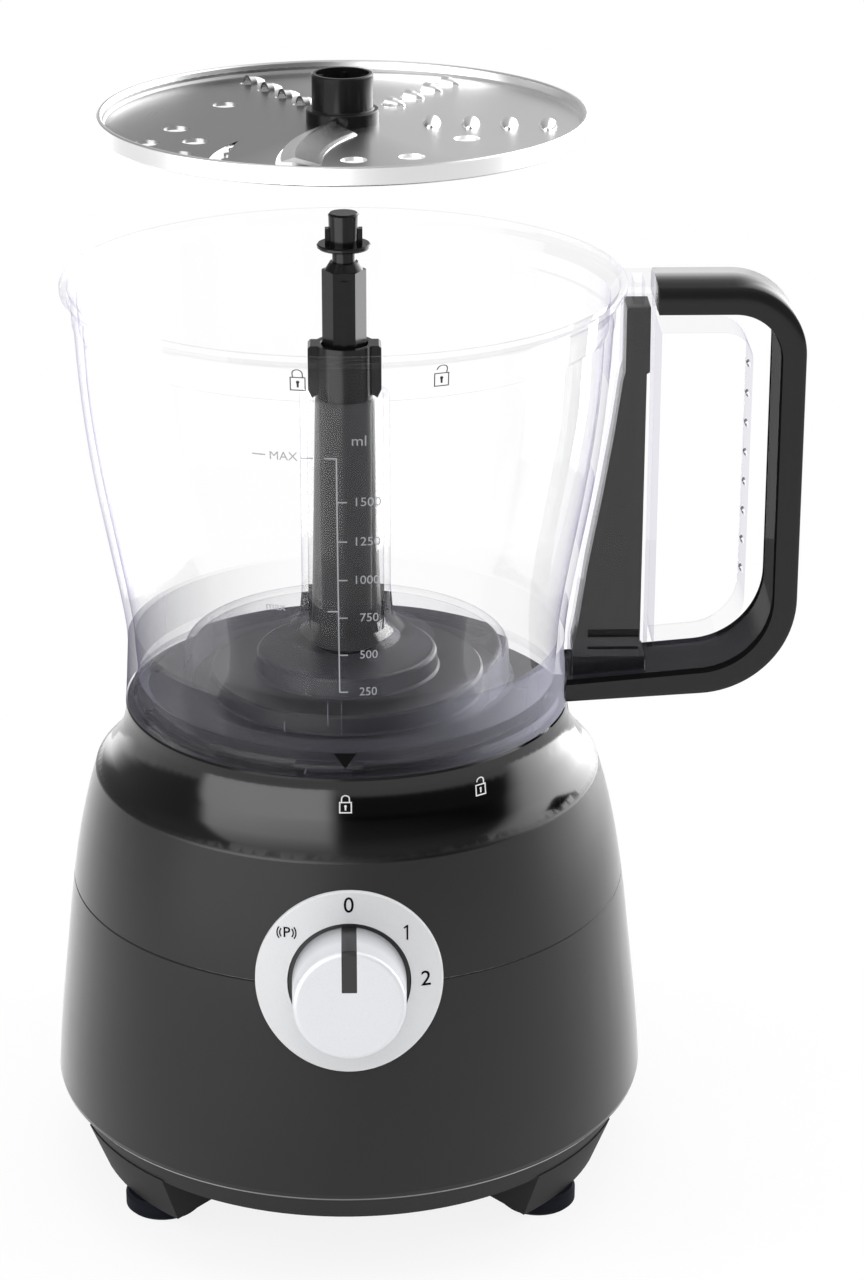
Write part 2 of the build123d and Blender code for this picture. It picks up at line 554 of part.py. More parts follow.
low_bracket = bracket(38.0, 42.0, 38.0, 44.0)
for px, py in MOTOR_BOLTS:
    low_bracket = low_bracket + tube(4.0, 2.2, 42.0, STACK_Z[0], px, py)
save("motor_bracket_low", low_bracket)
top_bracket = bracket(104.0, PLATE_Z, 101.0, PLATE_Z)
for px, py in MOTOR_BOLTS:
    top_bracket = top_bracket + tube(4.0, 2.2, STACK_Z[1], 104.0, px, py)
save("motor_bracket_top", top_bracket)
save("motor_bearing_low", bearing(3.0 + RUN_GAP, 6.5, 38.5, 43.5, *M))
save("motor_bearing_top", bearing(3.0 + RUN_GAP, 6.5, 102.0, 107.0, *M))
save("motor_shaft", rod(3.0, 29.5, GEAR_Z + GEAR_W + 2.0, *M))
core_face = Circle(CORE_R) - Circle(3.0)
for k in range(12):
    core_face = core_face - Rot(0, 0, 30 * k) * Pos(15.6, 0) * SlotOverall(5.4, 2.6)
    core_face = core_face - Rot(0, 0, 30 * k) * Pos(19.0, 0) * Rectangle(4.0, 1.2)
save("armature", extrude(Pos(*M, STACK_Z[0]) * core_face, STACK_Z[1] - STACK_Z[0]))
winds = []
for z0, z1 in ((STACK_Z[0] - 6.0, STACK_Z[0]), (STACK_Z[1], STACK_Z[1] + 6.0)):
    winds.append(Pos(*M, 0) * lathe([
        (3.0, z0), (13.5, z0), (17.5, z0 + 2.0), (17.5, z1 - 2.0), (16.5, z1), (3.0, z1),
    ]))
save("armature_windings", *winds)
comm_face = Circle(10.0) - Circle(3.0)
for k in range(24):
    comm_face = comm_face - Rot(0, 0, 15 * k) * Pos(9.8, 0) * Rectangle(1.6, 0.5)
commutator = extrude(Pos(*M, 45.5) * comm_face, 8.5)
save("commutator", commutator)
fan = Pos(*M, 0) * lathe([(3.0, 30.5), (6.5, 30.5), (6.5, 34.0), (25.0, 35.6), (25.0, 36.8), (3.0, 36.8)])
blade = block(8.0, 24.6, -0.7, 0.7, 30.2, 35.4)
for k in range(9):
    fan = fan + Pos(*M, 0) * Rot(0, 0, 40 * k) * blade
save("cooling_fan", fan)
holders, brushes = [], []
for s in (-1, 1):
    bx0, bx1 = sorted((s * 10.4, s * 25.0))
    box_x0, box_x1 = sorted((s * 13.0, s * 27.0))
    holder = block(box_x0, box_x1, MOTOR_Y - 4.6, MOTOR_Y + 4.6, 42.0, 54.0)
    well_x0, well_x1 = sorted((s * 12.0, s * 25.0))
    holder = holder - block(well_x0, well_x1, MOTOR_Y - 3.1, MOTOR_Y + 3.1, 46.0, 52.2)
    holders.append(holder)
    brushes.append(block(bx0, bx1, MOTOR_Y - 3.0, MOTOR_Y + 3.0, 46.2, 52.0))
save("brush_holders", *holders)
save("carbon_brushes", *brushes)


def screw(x, y, z_head, length, r, head_r, up):
    # A pan-head screw whose head seat is at z_head; up is +1 if the shank rises from the head.
    shank = rod(r, min(z_head, z_head + up * length), max(z_head, z_head + up * length), x, y)
    head_z = sorted((z_head, z_head - up * 2.4))
    head = rod(head_r, *head_z, x, y)
    slot_z = z_head - up * 2.4
    cross = block(x - 2.0, x + 2.0, y - 0.4, y + 0.4, slot_z - 1.0, slot_z + 1.0)
    cross = cross + block(x - 0.4, x + 0.4, y - 2.0, y + 2.0, slot_z - 1.0, slot_z + 1.0)
    return shank + head - cross


save("motor_screws", *[screw(px, py, 38.0, PLATE_Z + PLATE_H - 38.0, 2.0, 3.6, 1) for px, py in MOTOR_BOLTS])
save("plate_screws", *[screw(px, py, PLATE_Z, 24.0, 1.55, 3.6, 1) for px, py in POSTS])
save("tray_screws", *[screw(px, py, LOW_SEAM_Z - 3.0, 20.0, 1.55, 3.6, 1) for px, py in BOSS_SPOTS])

# Interlock in the base: plunger, spring and micro switch on a bracket under the run
PLUNGER_TOP = 171.1
plunger = rod(PLUNGER_R, 154.0, PLUNGER_TOP, PLUNGER_X, 0) + rod(1.6, 126.0, 155.0, PLUNGER_X, 0)
plunger = plunger + rod(5.0, 149.0, 151.7, PLUNGER_X, 0)
save("interlock_plunger", plunger)
SWITCH_BOX_Z = 112.0
SPRING_SEAT = SWITCH_BOX_Z + 16.0
micro = block(PLUNGER_X - 10, PLUNGER_X + 10, -5, 5, SWITCH_BOX_Z, SPRING_SEAT)
micro = micro - rod(1.9, SPRING_SEAT - 8.0, SPRING_SEAT + 1, PLUNGER_X, 0)
for y in (-1, 1):
    micro = micro - block(PLUNGER_X - 7, PLUNGER_X + 7, 4.0 if y > 0 else -5.1, 5.1 if y > 0 else -4.0,
                          SWITCH_BOX_Z + 3.0, SWITCH_BOX_Z + 9.0)
for x in (-7, 0, 7):
    tag_x = PLUNGER_X + x
    micro = micro + block(tag_x - 0.4, tag_x + 0.4, -2.0, 2.0, SWITCH_BOX_Z - 5.0, SWITCH_BOX_Z)
# an arm from the switch to the nearest post
micro = micro + block(PLUNGER_X - 22.0, PLUNGER_X - 8.0, -5.0, 5.0, SWITCH_BOX_Z + 1.0, SWITCH_BOX_Z + 3.4)
save("micro_switch", micro)
SPRING_TOP = 149.0
spring_wire = 0.5
turns_h = SPRING_TOP - SPRING_SEAT - 2 * spring_wire - 0.4
helix = Pos(PLUNGER_X, 0, SPRING_SEAT + spring_wire + 0.2) * Helix(turns_h / 6, turns_h, 3.4)
section = Plane(origin=helix @ 0, z_dir=helix % 0) * Circle(spring_wire)
save("plunger_spring", sweep(section, helix))

# Disc plate: sheet with an upright rim, round holes, punched teeth, a slicing slot and a scalloped slot
RIM_LOW_Z = DISC_RIM_Z - DISC_RIM_H
RIM_T = 1.4
HUB_NECK_R = 8.5
rim_in = DISC_R - RIM_T
disc = lathe([
    (HUB_NECK_R, PLATE_LOW_Z), (rim_in, PLATE_LOW_Z), (rim_in, RIM_LOW_Z + 0.4), (rim_in + 0.4, RIM_LOW_Z),
    (DISC_R - 0.4, RIM_LOW_Z), (DISC_R, RIM_LOW_Z + 0.4), (DISC_R, DISC_RIM_Z - 0.4),
    (DISC_R - 0.4, DISC_RIM_Z), (rim_in + 0.3, DISC_RIM_Z), (rim_in - 0.1, DISC_RIM_Z - 0.4),
    (rim_in - 0.4, PLATE_TOP_Z + 0.8), (rim_in - 1.2, PLATE_TOP_Z), (HUB_NECK_R, PLATE_TOP_Z),
])
HOLE_R = 4.1
HOLES = [
    (44.8, 147.6), (52.9, -168.8), (53.0, -148.8), (67.0, -154.0), (66.6, -138.0), (45.7, -33.1),
    (53.1, -66.9), (53.0, -86.5),
]
for r, a in HOLES:
    disc = disc - rod(HOLE_R, PLATE_LOW_Z - 1, PLATE_TOP_Z + 1, *polar(r, a))
# Punched teeth: a half-bullet hood over a slot, with its mouth facing the way the food comes
TOOTH_R = [28.2, 40.5, 52.6, 64.8]
TOOTH_ROWS = [-7.0, 59.0, 119.0]
TOOTH_W = 2.9
TOOTH_L = 6.6
TOOTH_T = 0.8
bullet = [
    (0.0, -TOOTH_L), (1.0, -TOOTH_L + 0.5), (1.9, -TOOTH_L * 0.68), (2.6, -TOOTH_L * 0.36), (TOOTH_W, 0.0),
]
bullet_in = [
    (TOOTH_W - TOOTH_T, 0.0), (1.8, -TOOTH_L * 0.36), (1.1, -TOOTH_L * 0.66), (0.0, -TOOTH_L * 0.82),
]
hood_face = make_face(Polyline(*[(r, y, 0) for r, y in bullet + bullet_in], close=True))
hood = Pos(0, 0, PLATE_TOP_Z - 0.25) * revolve(hood_face, Axis.Y)
hood = hood & block(-8, 8, -12, 8, PLATE_TOP_Z - 0.25, PLATE_TOP_Z + 8)
tooth_slot = SlotOverall(TOOTH_L + 1.2, 2 * (TOOTH_W - TOOTH_T), rotation=90)
tooth_hole = extrude(Pos(0, -1.4, PLATE_LOW_Z - 1) * tooth_slot, PLATE_T + 2)
for a in TOOTH_ROWS:
    for r in TOOTH_R:
        disc = disc + Rot(0, 0, a) * Pos(r, 0, 0) * hood
        disc = disc - Rot(0, 0, a) * Pos(r, 0, 0) * (tooth_hole & rod(40, 0, PLATE_TOP_Z))


def arc_centre(p, q, r):
    # Centre and radius of the circle through three points.
    (ax, ay), (bx, by), (cx, cy) = p, q, r
    d = 2 * (ax * (by - cy) + bx * (cy - ay) + cx * (ay - by))
    a2, b2, c2 = ax * ax + ay * ay, bx * bx + by * by, cx * cx + cy * cy
    ux = (a2 * (by - cy) + b2 * (cy - ay) + c2 * (ay - by)) / d
    uy = (a2 * (cx - bx) + b2 * (ax - cx) + c2 * (bx - ax)) / d
    return ux, uy, math.hypot(ax - ux, ay - uy)


# The cutting edge is an arc, so the blade and its slot are turned about the centre of that arc
CUT_EDGE = [(-6.0, -13.0), (-15.6, -34.0), (-18.4, -62.0)]
EDGE_X, EDGE_Y, EDGE_R = arc_centre(*CUT_EDGE)
EDGE_A = [math.degrees(math.atan2(y - EDGE_Y, x - EDGE_X)) % 360.0 for x, y in CUT_EDGE]


def along_edge(points, a0, a1):
    # A profile of (distance behind the cutting edge, height over the plate) turned along the edge.
    face = make_face(Polyline(*[(EDGE_R - d, 0, PLATE_TOP_Z + h) for d, h in points], close=True))
    swept = revolve(face, Axis.Z, a1 - a0)
    return Pos(EDGE_X, EDGE_Y, 0) * Rot(0, 0, a0) * swept


slot_depth = PLATE_T + 1.0
slot = along_edge([(-1.5, -slot_depth), (3.4, -slot_depth), (3.4, 1.0), (-1.5, 1.0)], EDGE_A[0], EDGE_A[2])
disc = disc - slot
# scalloped slot: a crescent with three bites on its inner side
CREST = [(-32.1, -27.0), (-37.6, -39.0), (-40.8, -56.0)]
CREST_IN = [(-32.1, -27.0), (-34.2, -40.0), (-34.4, -56.5)]
crescent = make_face([
    ThreePointArc(*CREST), Line(CREST[2], CREST_IN[2]), ThreePointArc(CREST_IN[2], CREST_IN[1], CREST_IN[0]),
])
crescent = extrude(Pos(0, 0, PLATE_LOW_Z - 1) * crescent, PLATE_T + 2)
for x, y, r in ((-33.6, -37.0, 1.2), (-34.4, -44.0, 1.7), (-34.6, -51.5, 2.0)):
    crescent = crescent - rod(r, PLATE_LOW_Z - 2, PLATE_TOP_Z + 2, x, y)
disc = disc - crescent.solids().sort_by(SortBy.VOLUME)[-1]
save("disc_plate", disc)

# Slicing blade: ground to a bevel along its raised edge and let down to the plate behind it
blade_pts = [
    (0.0, 1.55), (0.0, 1.75), (3.7, 2.85), (4.3, 2.8), (11.2, 0.75), (12.4, 0.25), (12.4, 0.0),
    (9.2, 0.0), (3.6, 1.55),
]
save("slicing_blade", along_edge(blade_pts, EDGE_A[0], EDGE_A[2]))

# Disc hub: moulded on the plate, keyed below and open above
HUB_FLANGE_R = 11.6
HUB_FLOOR_Z = HUB_LOW_Z + 6.4
hub = lathe([
    (0, HUB_LOW_Z), (10.4, HUB_LOW_Z), (10.4, PLATE_LOW_Z), (HUB_NECK_R, PLATE_LOW_Z),
    (HUB_NECK_R, PLATE_TOP_Z), (HUB_FLANGE_R, PLATE_TOP_Z), (HUB_FLANGE_R, PLATE_TOP_Z + 3.7),
    (HUB_FLANGE_R - 0.4, PLATE_TOP_Z + 4.1), (HUB_R + 0.3, PLATE_TOP_Z + 4.1), (HUB_R, PLATE_TOP_Z + 4.5),
    (HUB_R, HUB_TOP_Z - 0.4), (HUB_R - 0.4, HUB_TOP_Z), (HUB_R - 1.3, HUB_TOP_Z),
    (HUB_R - 1.6, HUB_FLOOR_Z), (0, HUB_FLOOR_Z),
])
NUB_HOLE_R = 5.35
hub = hub - rod(NUB_HOLE_R, HUB_LOW_Z - 1.6, HUB_FLOOR_Z + 2.0)
hub = hub - block(-6.4, 6.4, -1.8, 1.8, HUB_LOW_Z - 1.6, HUB_FLOOR_Z + 2.0)
for k in range(6):
    hub_rib = block(HUB_R - 2.7, HUB_R - 1.0, -0.9, 0.9, HUB_FLOOR_Z - 0.5, HUB_TOP_Z - 1.5)
    hub = hub + Rot(0, 0, 60 * k + 30) * hub_rib
save("disc_hub", hub)

# Bowl: clear moulding with stepped rim, moat floor, raised middle, central tube, post and handle frame
B_OUT = [
    (BOWL_RIM_R - 4.2, RIM_Z - 14.0), (BOWL_RIM_R - 5.6, 278.0), (BOWL_RIM_R - 9.4, 247.0),
    (BOWL_FOOT_R + 2.9, 221.0), (BOWL_FOOT_R - 0.2, 203.0), (BOWL_FOOT_R - 1.2, 191.0),
]
B_IN = [
    (BOWL_RIM_R - 7.0, RIM_Z - 15.8), (BOWL_RIM_R - 7.9, 278.0), (BOWL_RIM_R - 11.7, 247.8),
    (BOWL_FOOT_R + 0.7, 222.2), (BOWL_FOOT_R - 2.4, 204.0), (BOWL_FOOT_R - 3.6, 191.0),
]
FLOOR_UNDER = MOAT_Z - BOWL_WALL
PLAT_UNDER = PLATEAU_Z - BOWL_WALL
rim_line = Polyline(*[(r, 0, z) for r, z in [
    B_IN[0], (BOWL_RIM_R - 5.9, RIM_Z - 15.3), (BOWL_RIM_R - 5.3, RIM_Z - 5.0),
    (BOWL_RIM_R - 2.7, RIM_Z - 2.4), (BOWL_RIM_R - 2.3, RIM_Z - 0.5), (BOWL_RIM_R - 1.8, RIM_Z),
    (BOWL_RIM_R - 0.5, RIM_Z), (BOWL_RIM_R, RIM_Z - 0.5), (BOWL_RIM_R, RIM_Z - 2.4),
    (BOWL_RIM_R - 0.5, RIM_Z - 3.0), (BOWL_RIM_R - 2.1, RIM_Z - 4.4), (BOWL_RIM_R - 3.5, RIM_Z - 7.5),
    (BOWL_RIM_R - 3.7, RIM_Z - 13.2), B_OUT[0],
]])
out_line = Spline(*[(r, 0, z) for r, z in B_OUT], tangents=[(-0.05, 0, -1), (0, 0, -1)])
SHOULDER = 3.6


def quarter(r, z, radius, steps):
    # Points of a quarter round from its top to its side.
    turns = [math.radians(90.0 * (1 - k / steps)) for k in range(steps + 1)]
    return [(r - radius + radius * math.cos(t), z - radius + radius * math.sin(t)) for t in turns]


ring_in = PLATEAU_R - BOWL_WALL
low_pts = [
    B_OUT[-1], (BOWL_FOOT_R - 0.5, 178.0), (BOWL_FOOT_R, DECK_Z + TURN_GAP),
    (BOWL_FOOT_R - BOWL_WALL, DECK_Z + TURN_GAP),
    (BOWL_FOOT_R - BOWL_WALL, FLOOR_UNDER), (ring_in + 0.5, FLOOR_UNDER), (ring_in, FLOOR_UNDER + 0.5),
    *reversed(quarter(ring_in, PLAT_UNDER, 1.6, 3)), (28.5, PLAT_UNDER), (18.0, PLAT_UNDER + 2.6),
    (13.2, PLAT_UNDER + 7.0), (12.6, PLAT_UNDER + 10.0), (12.6, TUBE_Z - 0.4), (13.0, TUBE_Z),
    (TUBE_R - 0.5, TUBE_Z), (TUBE_R - 0.1, TUBE_Z - 0.5), (TUBE_R, PLATEAU_Z + 18.0),
    (TUBE_R + 0.8, PLATEAU_Z + 8.5), (TUBE_R + 4.6, PLATEAU_Z + 3.8), (29.5, PLATEAU_Z),
    *quarter(PLATEAU_R, PLATEAU_Z, SHOULDER, 6), (PLATEAU_R + 0.6, MOAT_Z + 1.2), (PLATEAU_R + 1.8, MOAT_Z),
    (BOWL_FOOT_R - 7.6, MOAT_Z), (BOWL_FOOT_R - 4.5, MOAT_Z + 2.4), B_IN[-1],
]
low_line = Polyline(*[(r, 0, z) for r, z in low_pts])
in_line = Spline(*[(r, 0, z) for r, z in reversed(B_IN)], tangents=[(0, 0, 1), (0.05, 0, 1)])
bowl = revolve(make_face([rim_line, out_line, low_line, in_line]), Axis.Z)
hollow = revolve(make_face([
    Spline(*[(r, 0, z) for r, z in reversed(B_OUT)], tangents=[(0, 0, 1), (0.05, 0, 1)]),
    Polyline(*[(r, 0, z) for r, z in [
        B_OUT[0], (BOWL_RIM_R - 4.1, RIM_Z - 7.5), (BOWL_RIM_R - 2.9, RIM_Z - 4.4),
        (BOWL_RIM_R - 1.1, RIM_Z - 3.0), (BOWL_RIM_R - 1.1, RIM_Z + 6.0), (0, RIM_Z + 6.0), (0, 160.0),
        (BOWL_FOOT_R, 160.0),
        (BOWL_FOOT_R - 0.5, 170.0), (BOWL_FOOT_R - 1.1, 178.0), B_OUT[-1],
    ]]),
]), Axis.Z)
# the line between the clear frame and its black cover
BAND_LOW_Z = HANDLE_LOW_Z + 7.0
BAND_RISE = HANDLE_RISE + 1.8
outline_pts = [
    (60, HANDLE_TOP_Z - COVER_BAND), (HANDLE_X - COVER_BAND, HANDLE_TOP_Z - COVER_BAND),
    (HANDLE_X - COVER_BAND + 0.6, BAND_LOW_Z + BAND_RISE), (60, BAND_LOW_Z),
]
outline = make_face(Polyline(*[(x, 0, z) for x, z in outline_pts], close=True))


def corner(face, x_min, z_min, z_max, radius):
    picked = [v for v in face.vertices() if v.X > x_min and z_min < v.Z < z_max]
    return fillet(picked, radius)


outline = corner(outline, 120, 250, 400, 15.5)
outline = corner(outline, 120, 100, 250, 25.5)
gap_pts = [
    (GAP_IN_X, GAP_TOP_Z), (GAP_OUT_X, GAP_TOP_Z), (GAP_OUT_X, GAP_LOW_Z + 1.6), (GAP_IN_X, GAP_LOW_Z - 1.0),
]
grip_gap = make_face(Polyline(*[(x, 0, z) for x, z in gap_pts], close=True))
grip_gap = corner(grip_gap, 120, 250, 400, 9.5)
grip_gap = corner(grip_gap, 120, 100, 250, 17.0)
frame_face = outline - grip_gap
core = extrude(frame_face, CORE_DEPTH / 2, both=True, dir=(0, 1, 0))
core = fillet(core.edges().filter_by(GeomType.LINE).filter_by(Axis.Z).group_by(Axis.X)[-1], 1.5)
post_top = block(80, CAVITY_X, -CORE_DEPTH / 2, CORE_DEPTH / 2, 300.0, HANDLE_TOP_Z)
core = core + post_top
for k in range(8):
    rib = Pos(GAP_OUT_X, 0, 213.7 + 10.1 * k) * Rot(90, 0, 0) * Cylinder(0.9, 8.0)
    core = core + rib
core = core - hollow
SLIDER_HALF = 7.0
SLIDER_TOP = 305.0
SLIDER_STEP = 283.5
SLIDER_OUT_X = 97.6
FOOT_LOW_Z = 175.2
FOOT_TOP_Z = 184.8
TOE_T = 2.1
wall_side = [
    (BOWL_FOOT_R + 1.3, 188.0), (BOWL_FOOT_R + 2.7, 195.5), (BOWL_FOOT_R + 5.7, 217.0),
    (BOWL_RIM_R - 6.9, 241.7), (BOWL_RIM_R - 3.5, 263.0), (BOWL_RIM_R - 1.1, 281.0),
]
slider_pts = [
    (90.7, SLIDER_STEP), (90.7, SLIDER_TOP), (SLIDER_OUT_X + 0.8, SLIDER_TOP),
    (SLIDER_OUT_X + 1.0, SLIDER_STEP), (SLIDER_OUT_X, SLIDER_STEP - 0.6), (SLIDER_OUT_X, FOOT_TOP_Z),
    (FOOT_OUT_X, FOOT_TOP_Z), (FOOT_OUT_X, FOOT_LOW_Z), (83.0, FOOT_LOW_Z), (83.0, TOE_Z), (58.0, TOE_Z),
    (58.0, TOE_Z + TOE_T), (BOWL_FOOT_R + 1.3, TOE_Z + TOE_T), *wall_side,
]
cavity_pts = [
    (89.8, SLIDER_STEP), (89.8, SLIDER_TOP + 0.8), (CAVITY_X, SLIDER_TOP + 0.8), (CAVITY_X, 160.0),
    (60.0, 160.0), (60.0, TOE_Z + TOE_T + 0.8), (BOWL_FOOT_R + 0.4, TOE_Z + TOE_T + 0.8),
    *[(x - 0.9, z) for x, z in wall_side],
]
cavity = prism_y(cavity_pts, SLIDER_HALF + SLIDE_GAP)
lid_slot = block(93.0, 96.4, -6.0, 6.0, SLIDER_TOP, HANDLE_TOP_Z + 1)
core = core - cavity - lid_slot
bowl = bowl - block(60.0, 84.0, -SLIDER_HALF - SLIDE_GAP, SLIDER_HALF + SLIDE_GAP, 160.0, FLOOR_UNDER)
bowl = bowl + core
for a in LUGS:
    bowl = bowl + sector(SPIGOT_R + 0.9, BOWL_FOOT_R - 1.5, a - 6.0, a + 6.0, DECK_Z + TURN_GAP, LUG_Z - 0.4)
# an L-shaped rib on the ring wall of the raised middle
RIB_OUT = PLATEAU_R + 1.4
bowl = bowl + sector(PLATEAU_R - 1.0, RIB_OUT, -96.5, -91.9, MOAT_Z - 0.5, PLATEAU_Z - 1.8)
bowl = bowl + sector(PLATEAU_R - 1.0, RIB_OUT, -111.5, -91.9, MOAT_Z - 0.5, MOAT_Z + 4.4)
save("bowl", bowl)

# Handle cover: black band round the outside of the frame
cover_pts = [
    (60, HANDLE_TOP_Z), (HANDLE_X, HANDLE_TOP_Z), (HANDLE_X + 0.6, HANDLE_LOW_Z + HANDLE_RISE),
    (60, HANDLE_LOW_Z),
]
cover_out = make_face(Polyline(*[(x, 0, z) for x, z in cover_pts], close=True))
cover_out = corner(cover_out, 120, 250, 400, 23.0)
cover_out = corner(cover_out, 120, 100, 250, 33.0)
cover = extrude(cover_out, COVER_DEPTH / 2, both=True, dir=(0, 1, 0))
edges = [e for e in cover.edges() if abs(e.center().Y) > COVER_DEPTH / 2 - 0.01 and e.center().X > 70]
cover = fillet(edges, 4.2)
cover = cover - extrude(offset(outline, COVER_FIT), COVER_DEPTH, both=True, dir=(0, 1, 0))
cover = cover - block(0, CAVITY_X + 0.2, -40, 40, 240, 400)
# the lower bar stands clear of the bowl's foot and is slotted for the foot of the slider
cover = cover - rod(BOWL_FOOT_R + 0.2, 150, 240)
cover = cover - block(0, CAVITY_X + 0.2, -SLIDER_HALF - 1.2, SLIDER_HALF + 1.2, 150, 240)
save("handle_cover", *cover.solids().sort_by(SortBy.VOLUME)[-1:])
# Slider: a black tongue between the handle and the bowl, with two finger grooves over its foot
slider = prism_y(slider_pts, SLIDER_HALF)
for z0, z1 in ((191.6, 194.5), (187.3, 188.4)):
    slider = slider - block(80.2, 97.2, -SLIDER_HALF - 1, -SLIDER_HALF + 1.2, z0, z1)
slider = slider - block(50, 77.0, 5.2, 20, 160, 178) - block(50, 77.0, -20, -5.2, 160, 178)
save("interlock_slider", slider)
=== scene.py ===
# %% [markdown]
# # Dressing a food processor for a studio picture
# The solid model is loaded first and stays as it is: every Blender piece is placed in the same
# metres and the same axes, so nothing has to be fitted by eye. The dial looks towards -Y, the
# bowl's handle points to +X and the worktop is z = 0.

# %% The frame
import math

import bpy
from mathutils import Euler, Matrix, Vector
from mathutils.bvhtree import BVHTree


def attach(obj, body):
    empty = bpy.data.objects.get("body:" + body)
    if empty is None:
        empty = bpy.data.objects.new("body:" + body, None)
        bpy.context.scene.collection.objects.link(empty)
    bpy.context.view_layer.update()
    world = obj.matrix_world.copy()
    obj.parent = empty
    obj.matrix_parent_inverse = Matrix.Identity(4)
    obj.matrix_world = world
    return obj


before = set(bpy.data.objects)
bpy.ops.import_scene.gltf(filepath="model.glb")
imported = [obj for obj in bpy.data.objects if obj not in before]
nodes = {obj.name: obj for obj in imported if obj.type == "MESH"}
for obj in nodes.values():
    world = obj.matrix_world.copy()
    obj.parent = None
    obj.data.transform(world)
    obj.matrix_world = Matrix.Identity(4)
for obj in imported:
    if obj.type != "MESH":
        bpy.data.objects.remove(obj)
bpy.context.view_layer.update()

print("loaded", len(nodes), "solids")

# %% [markdown]
# ## A short way to write shader maths
# A shader graph is easier to read as an expression than as a list of links. `Value` wraps one
# socket: adding or multiplying two values adds the Math node that does it. The reflected forms let
# a plain number stand first, as in `1 - mask`.

# %% Shader maths
class Value:
    def __init__(self, tree, socket):
        self.tree = tree
        self.socket = socket

    def _math(self, kind, a, b=None):
        node = self.tree.nodes.new("ShaderNodeMath")
        node.operation = kind
        for slot, item in zip(node.inputs, (a, b)):
            if isinstance(item, Value):
                self.tree.links.new(item.socket, slot)
            elif item is not None:
                slot.default_value = item
        return Value(self.tree, node.outputs[0])

    def __add__(self, other):
        return self._math("ADD", self, other)

    def __radd__(self, other):
        return self._math("ADD", other, self)

    def __sub__(self, other):
        return self._math("SUBTRACT", self, other)

    def __rsub__(self, other):
        return self._math("SUBTRACT", other, self)

    def __mul__(self, other):
        return self._math("MULTIPLY", self, other)

    def __rmul__(self, other):
        return self._math("MULTIPLY", other, self)

    def __truediv__(self, other):
        return self._math("DIVIDE", self, other)

    def __rtruediv__(self, other):
        return self._math("DIVIDE", other, self)

    def __pow__(self, other):
        return self._math("POWER", self, other)

    def most(self, other):
        return self._math("MAXIMUM", self, other)

    def least(self, other):
        return self._math("MINIMUM", self, other)

    def above(self, other):
        return self._math("GREATER_THAN", self, other)

    def bearing(self, other):
        return self._math("ARCTAN2", self, other)

    def sine(self):
        return self._math("SINE", self)

    def share(self):
        # Held between 0 and 1.
        return self.most(0.0).least(1.0)

    def within(self, low, high):
        return self.above(low) * (1.0 - self.above(high))


print("shader maths ready")

# %% [markdown]
# ## One material at a time
# `Finish` owns one material and makes every other node through a single method, `add`, which takes
# the sockets by name. The rest are short names for nodes that nearly every finish needs.

# %% Material helper
class Finish:
    def __init__(self, name, tree=None):
        if tree is None:
            self.material = bpy.data.materials.new(name)
            self.material.use_nodes = True
            tree = self.material.node_tree
        self.tree = tree
        self.tree.nodes.clear()

    def add(self, kind, settings=None, out=0, **sockets):
        node = self.tree.nodes.new(kind)
        for key, setting in (settings or {}).items():
            if key == "stops":
                ramp = node.color_ramp.elements
                while len(ramp) < len(setting):
                    ramp.new(0.5)
                for stop, (place, tone) in zip(ramp, setting):
                    stop.position = place
                    stop.color = (tone, tone, tone, 1)
            else:
                setattr(node, key, setting)
        for key, item in sockets.items():
            wanted = key.replace("_", " ").lower()
            slot = next(s for s in node.inputs if s.name.lower() == wanted and s.enabled)
            if isinstance(item, Value):
                self.tree.links.new(item.socket, slot)
            else:
                slot.default_value = item
        return Value(self.tree, node.outputs[out])

    def place(self, out=3):
        return self.add("ShaderNodeTexCoord", out=out)

    def axes(self, out=3):
        # The three parts of the place on the piece, or of its normal where out is 1.
        split = self.add("ShaderNodeSeparateXYZ", Vector=self.place(out))
        owner = split.socket.node
        return [Value(self.tree, s) for s in owner.outputs]

    def noise(self, scale, detail=2.0, at=None):
        return self.add("ShaderNodeTexNoise", Vector=at or self.place(), Scale=scale, Detail=detail)

    def tint(self, amount, low, high):
        # Colour between two tones; the first may already be a colour from other nodes.
        first = low if isinstance(low, Value) else (*low, 1)
        return self.add("ShaderNodeMix", {"data_type": "RGBA"}, out=2, Factor=amount, A=first, B=(*high, 1))

    def bump(self, height, distance, strength=1.0):
        return self.add("ShaderNodeBump", Height=height, Distance=distance, Strength=strength)

    def shade(self, **sockets):
        return self.add("ShaderNodeBsdfPrincipled", **sockets)

    def between(self, amount, first, second):
        mix = self.add("ShaderNodeMixShader", Fac=amount)
        ends = [s for s in mix.socket.node.inputs if s.type == "SHADER"]
        for shader, slot in zip((first, second), ends):
            self.tree.links.new(shader.socket, slot)
        return mix

    def rays(self):
        path = self.add("ShaderNodeLightPath")
        return {s.name: Value(self.tree, s) for s in path.socket.node.outputs}

    def done(self, shader):
        end = self.tree.nodes.new("ShaderNodeOutputMaterial")
        self.tree.links.new(shader.socket, end.inputs["Surface"])
        return self.material


def dimmed(tone, share):
    return [c * share for c in tone]


print("material helper ready")

# %% [markdown]
# ## Satin black moulding
# The housing of the motor base is injection moulded in black with a spark-eroded texture: a very
# fine grain that spreads the highlight. Two noises do this, one for the grain in the bump and a
# slower one that lets the roughness drift, because no moulding reflects quite evenly.

# %% Satin black
SATIN_GLOSS = 0.12
SATIN_SHEEN_ROUGH = 0.32


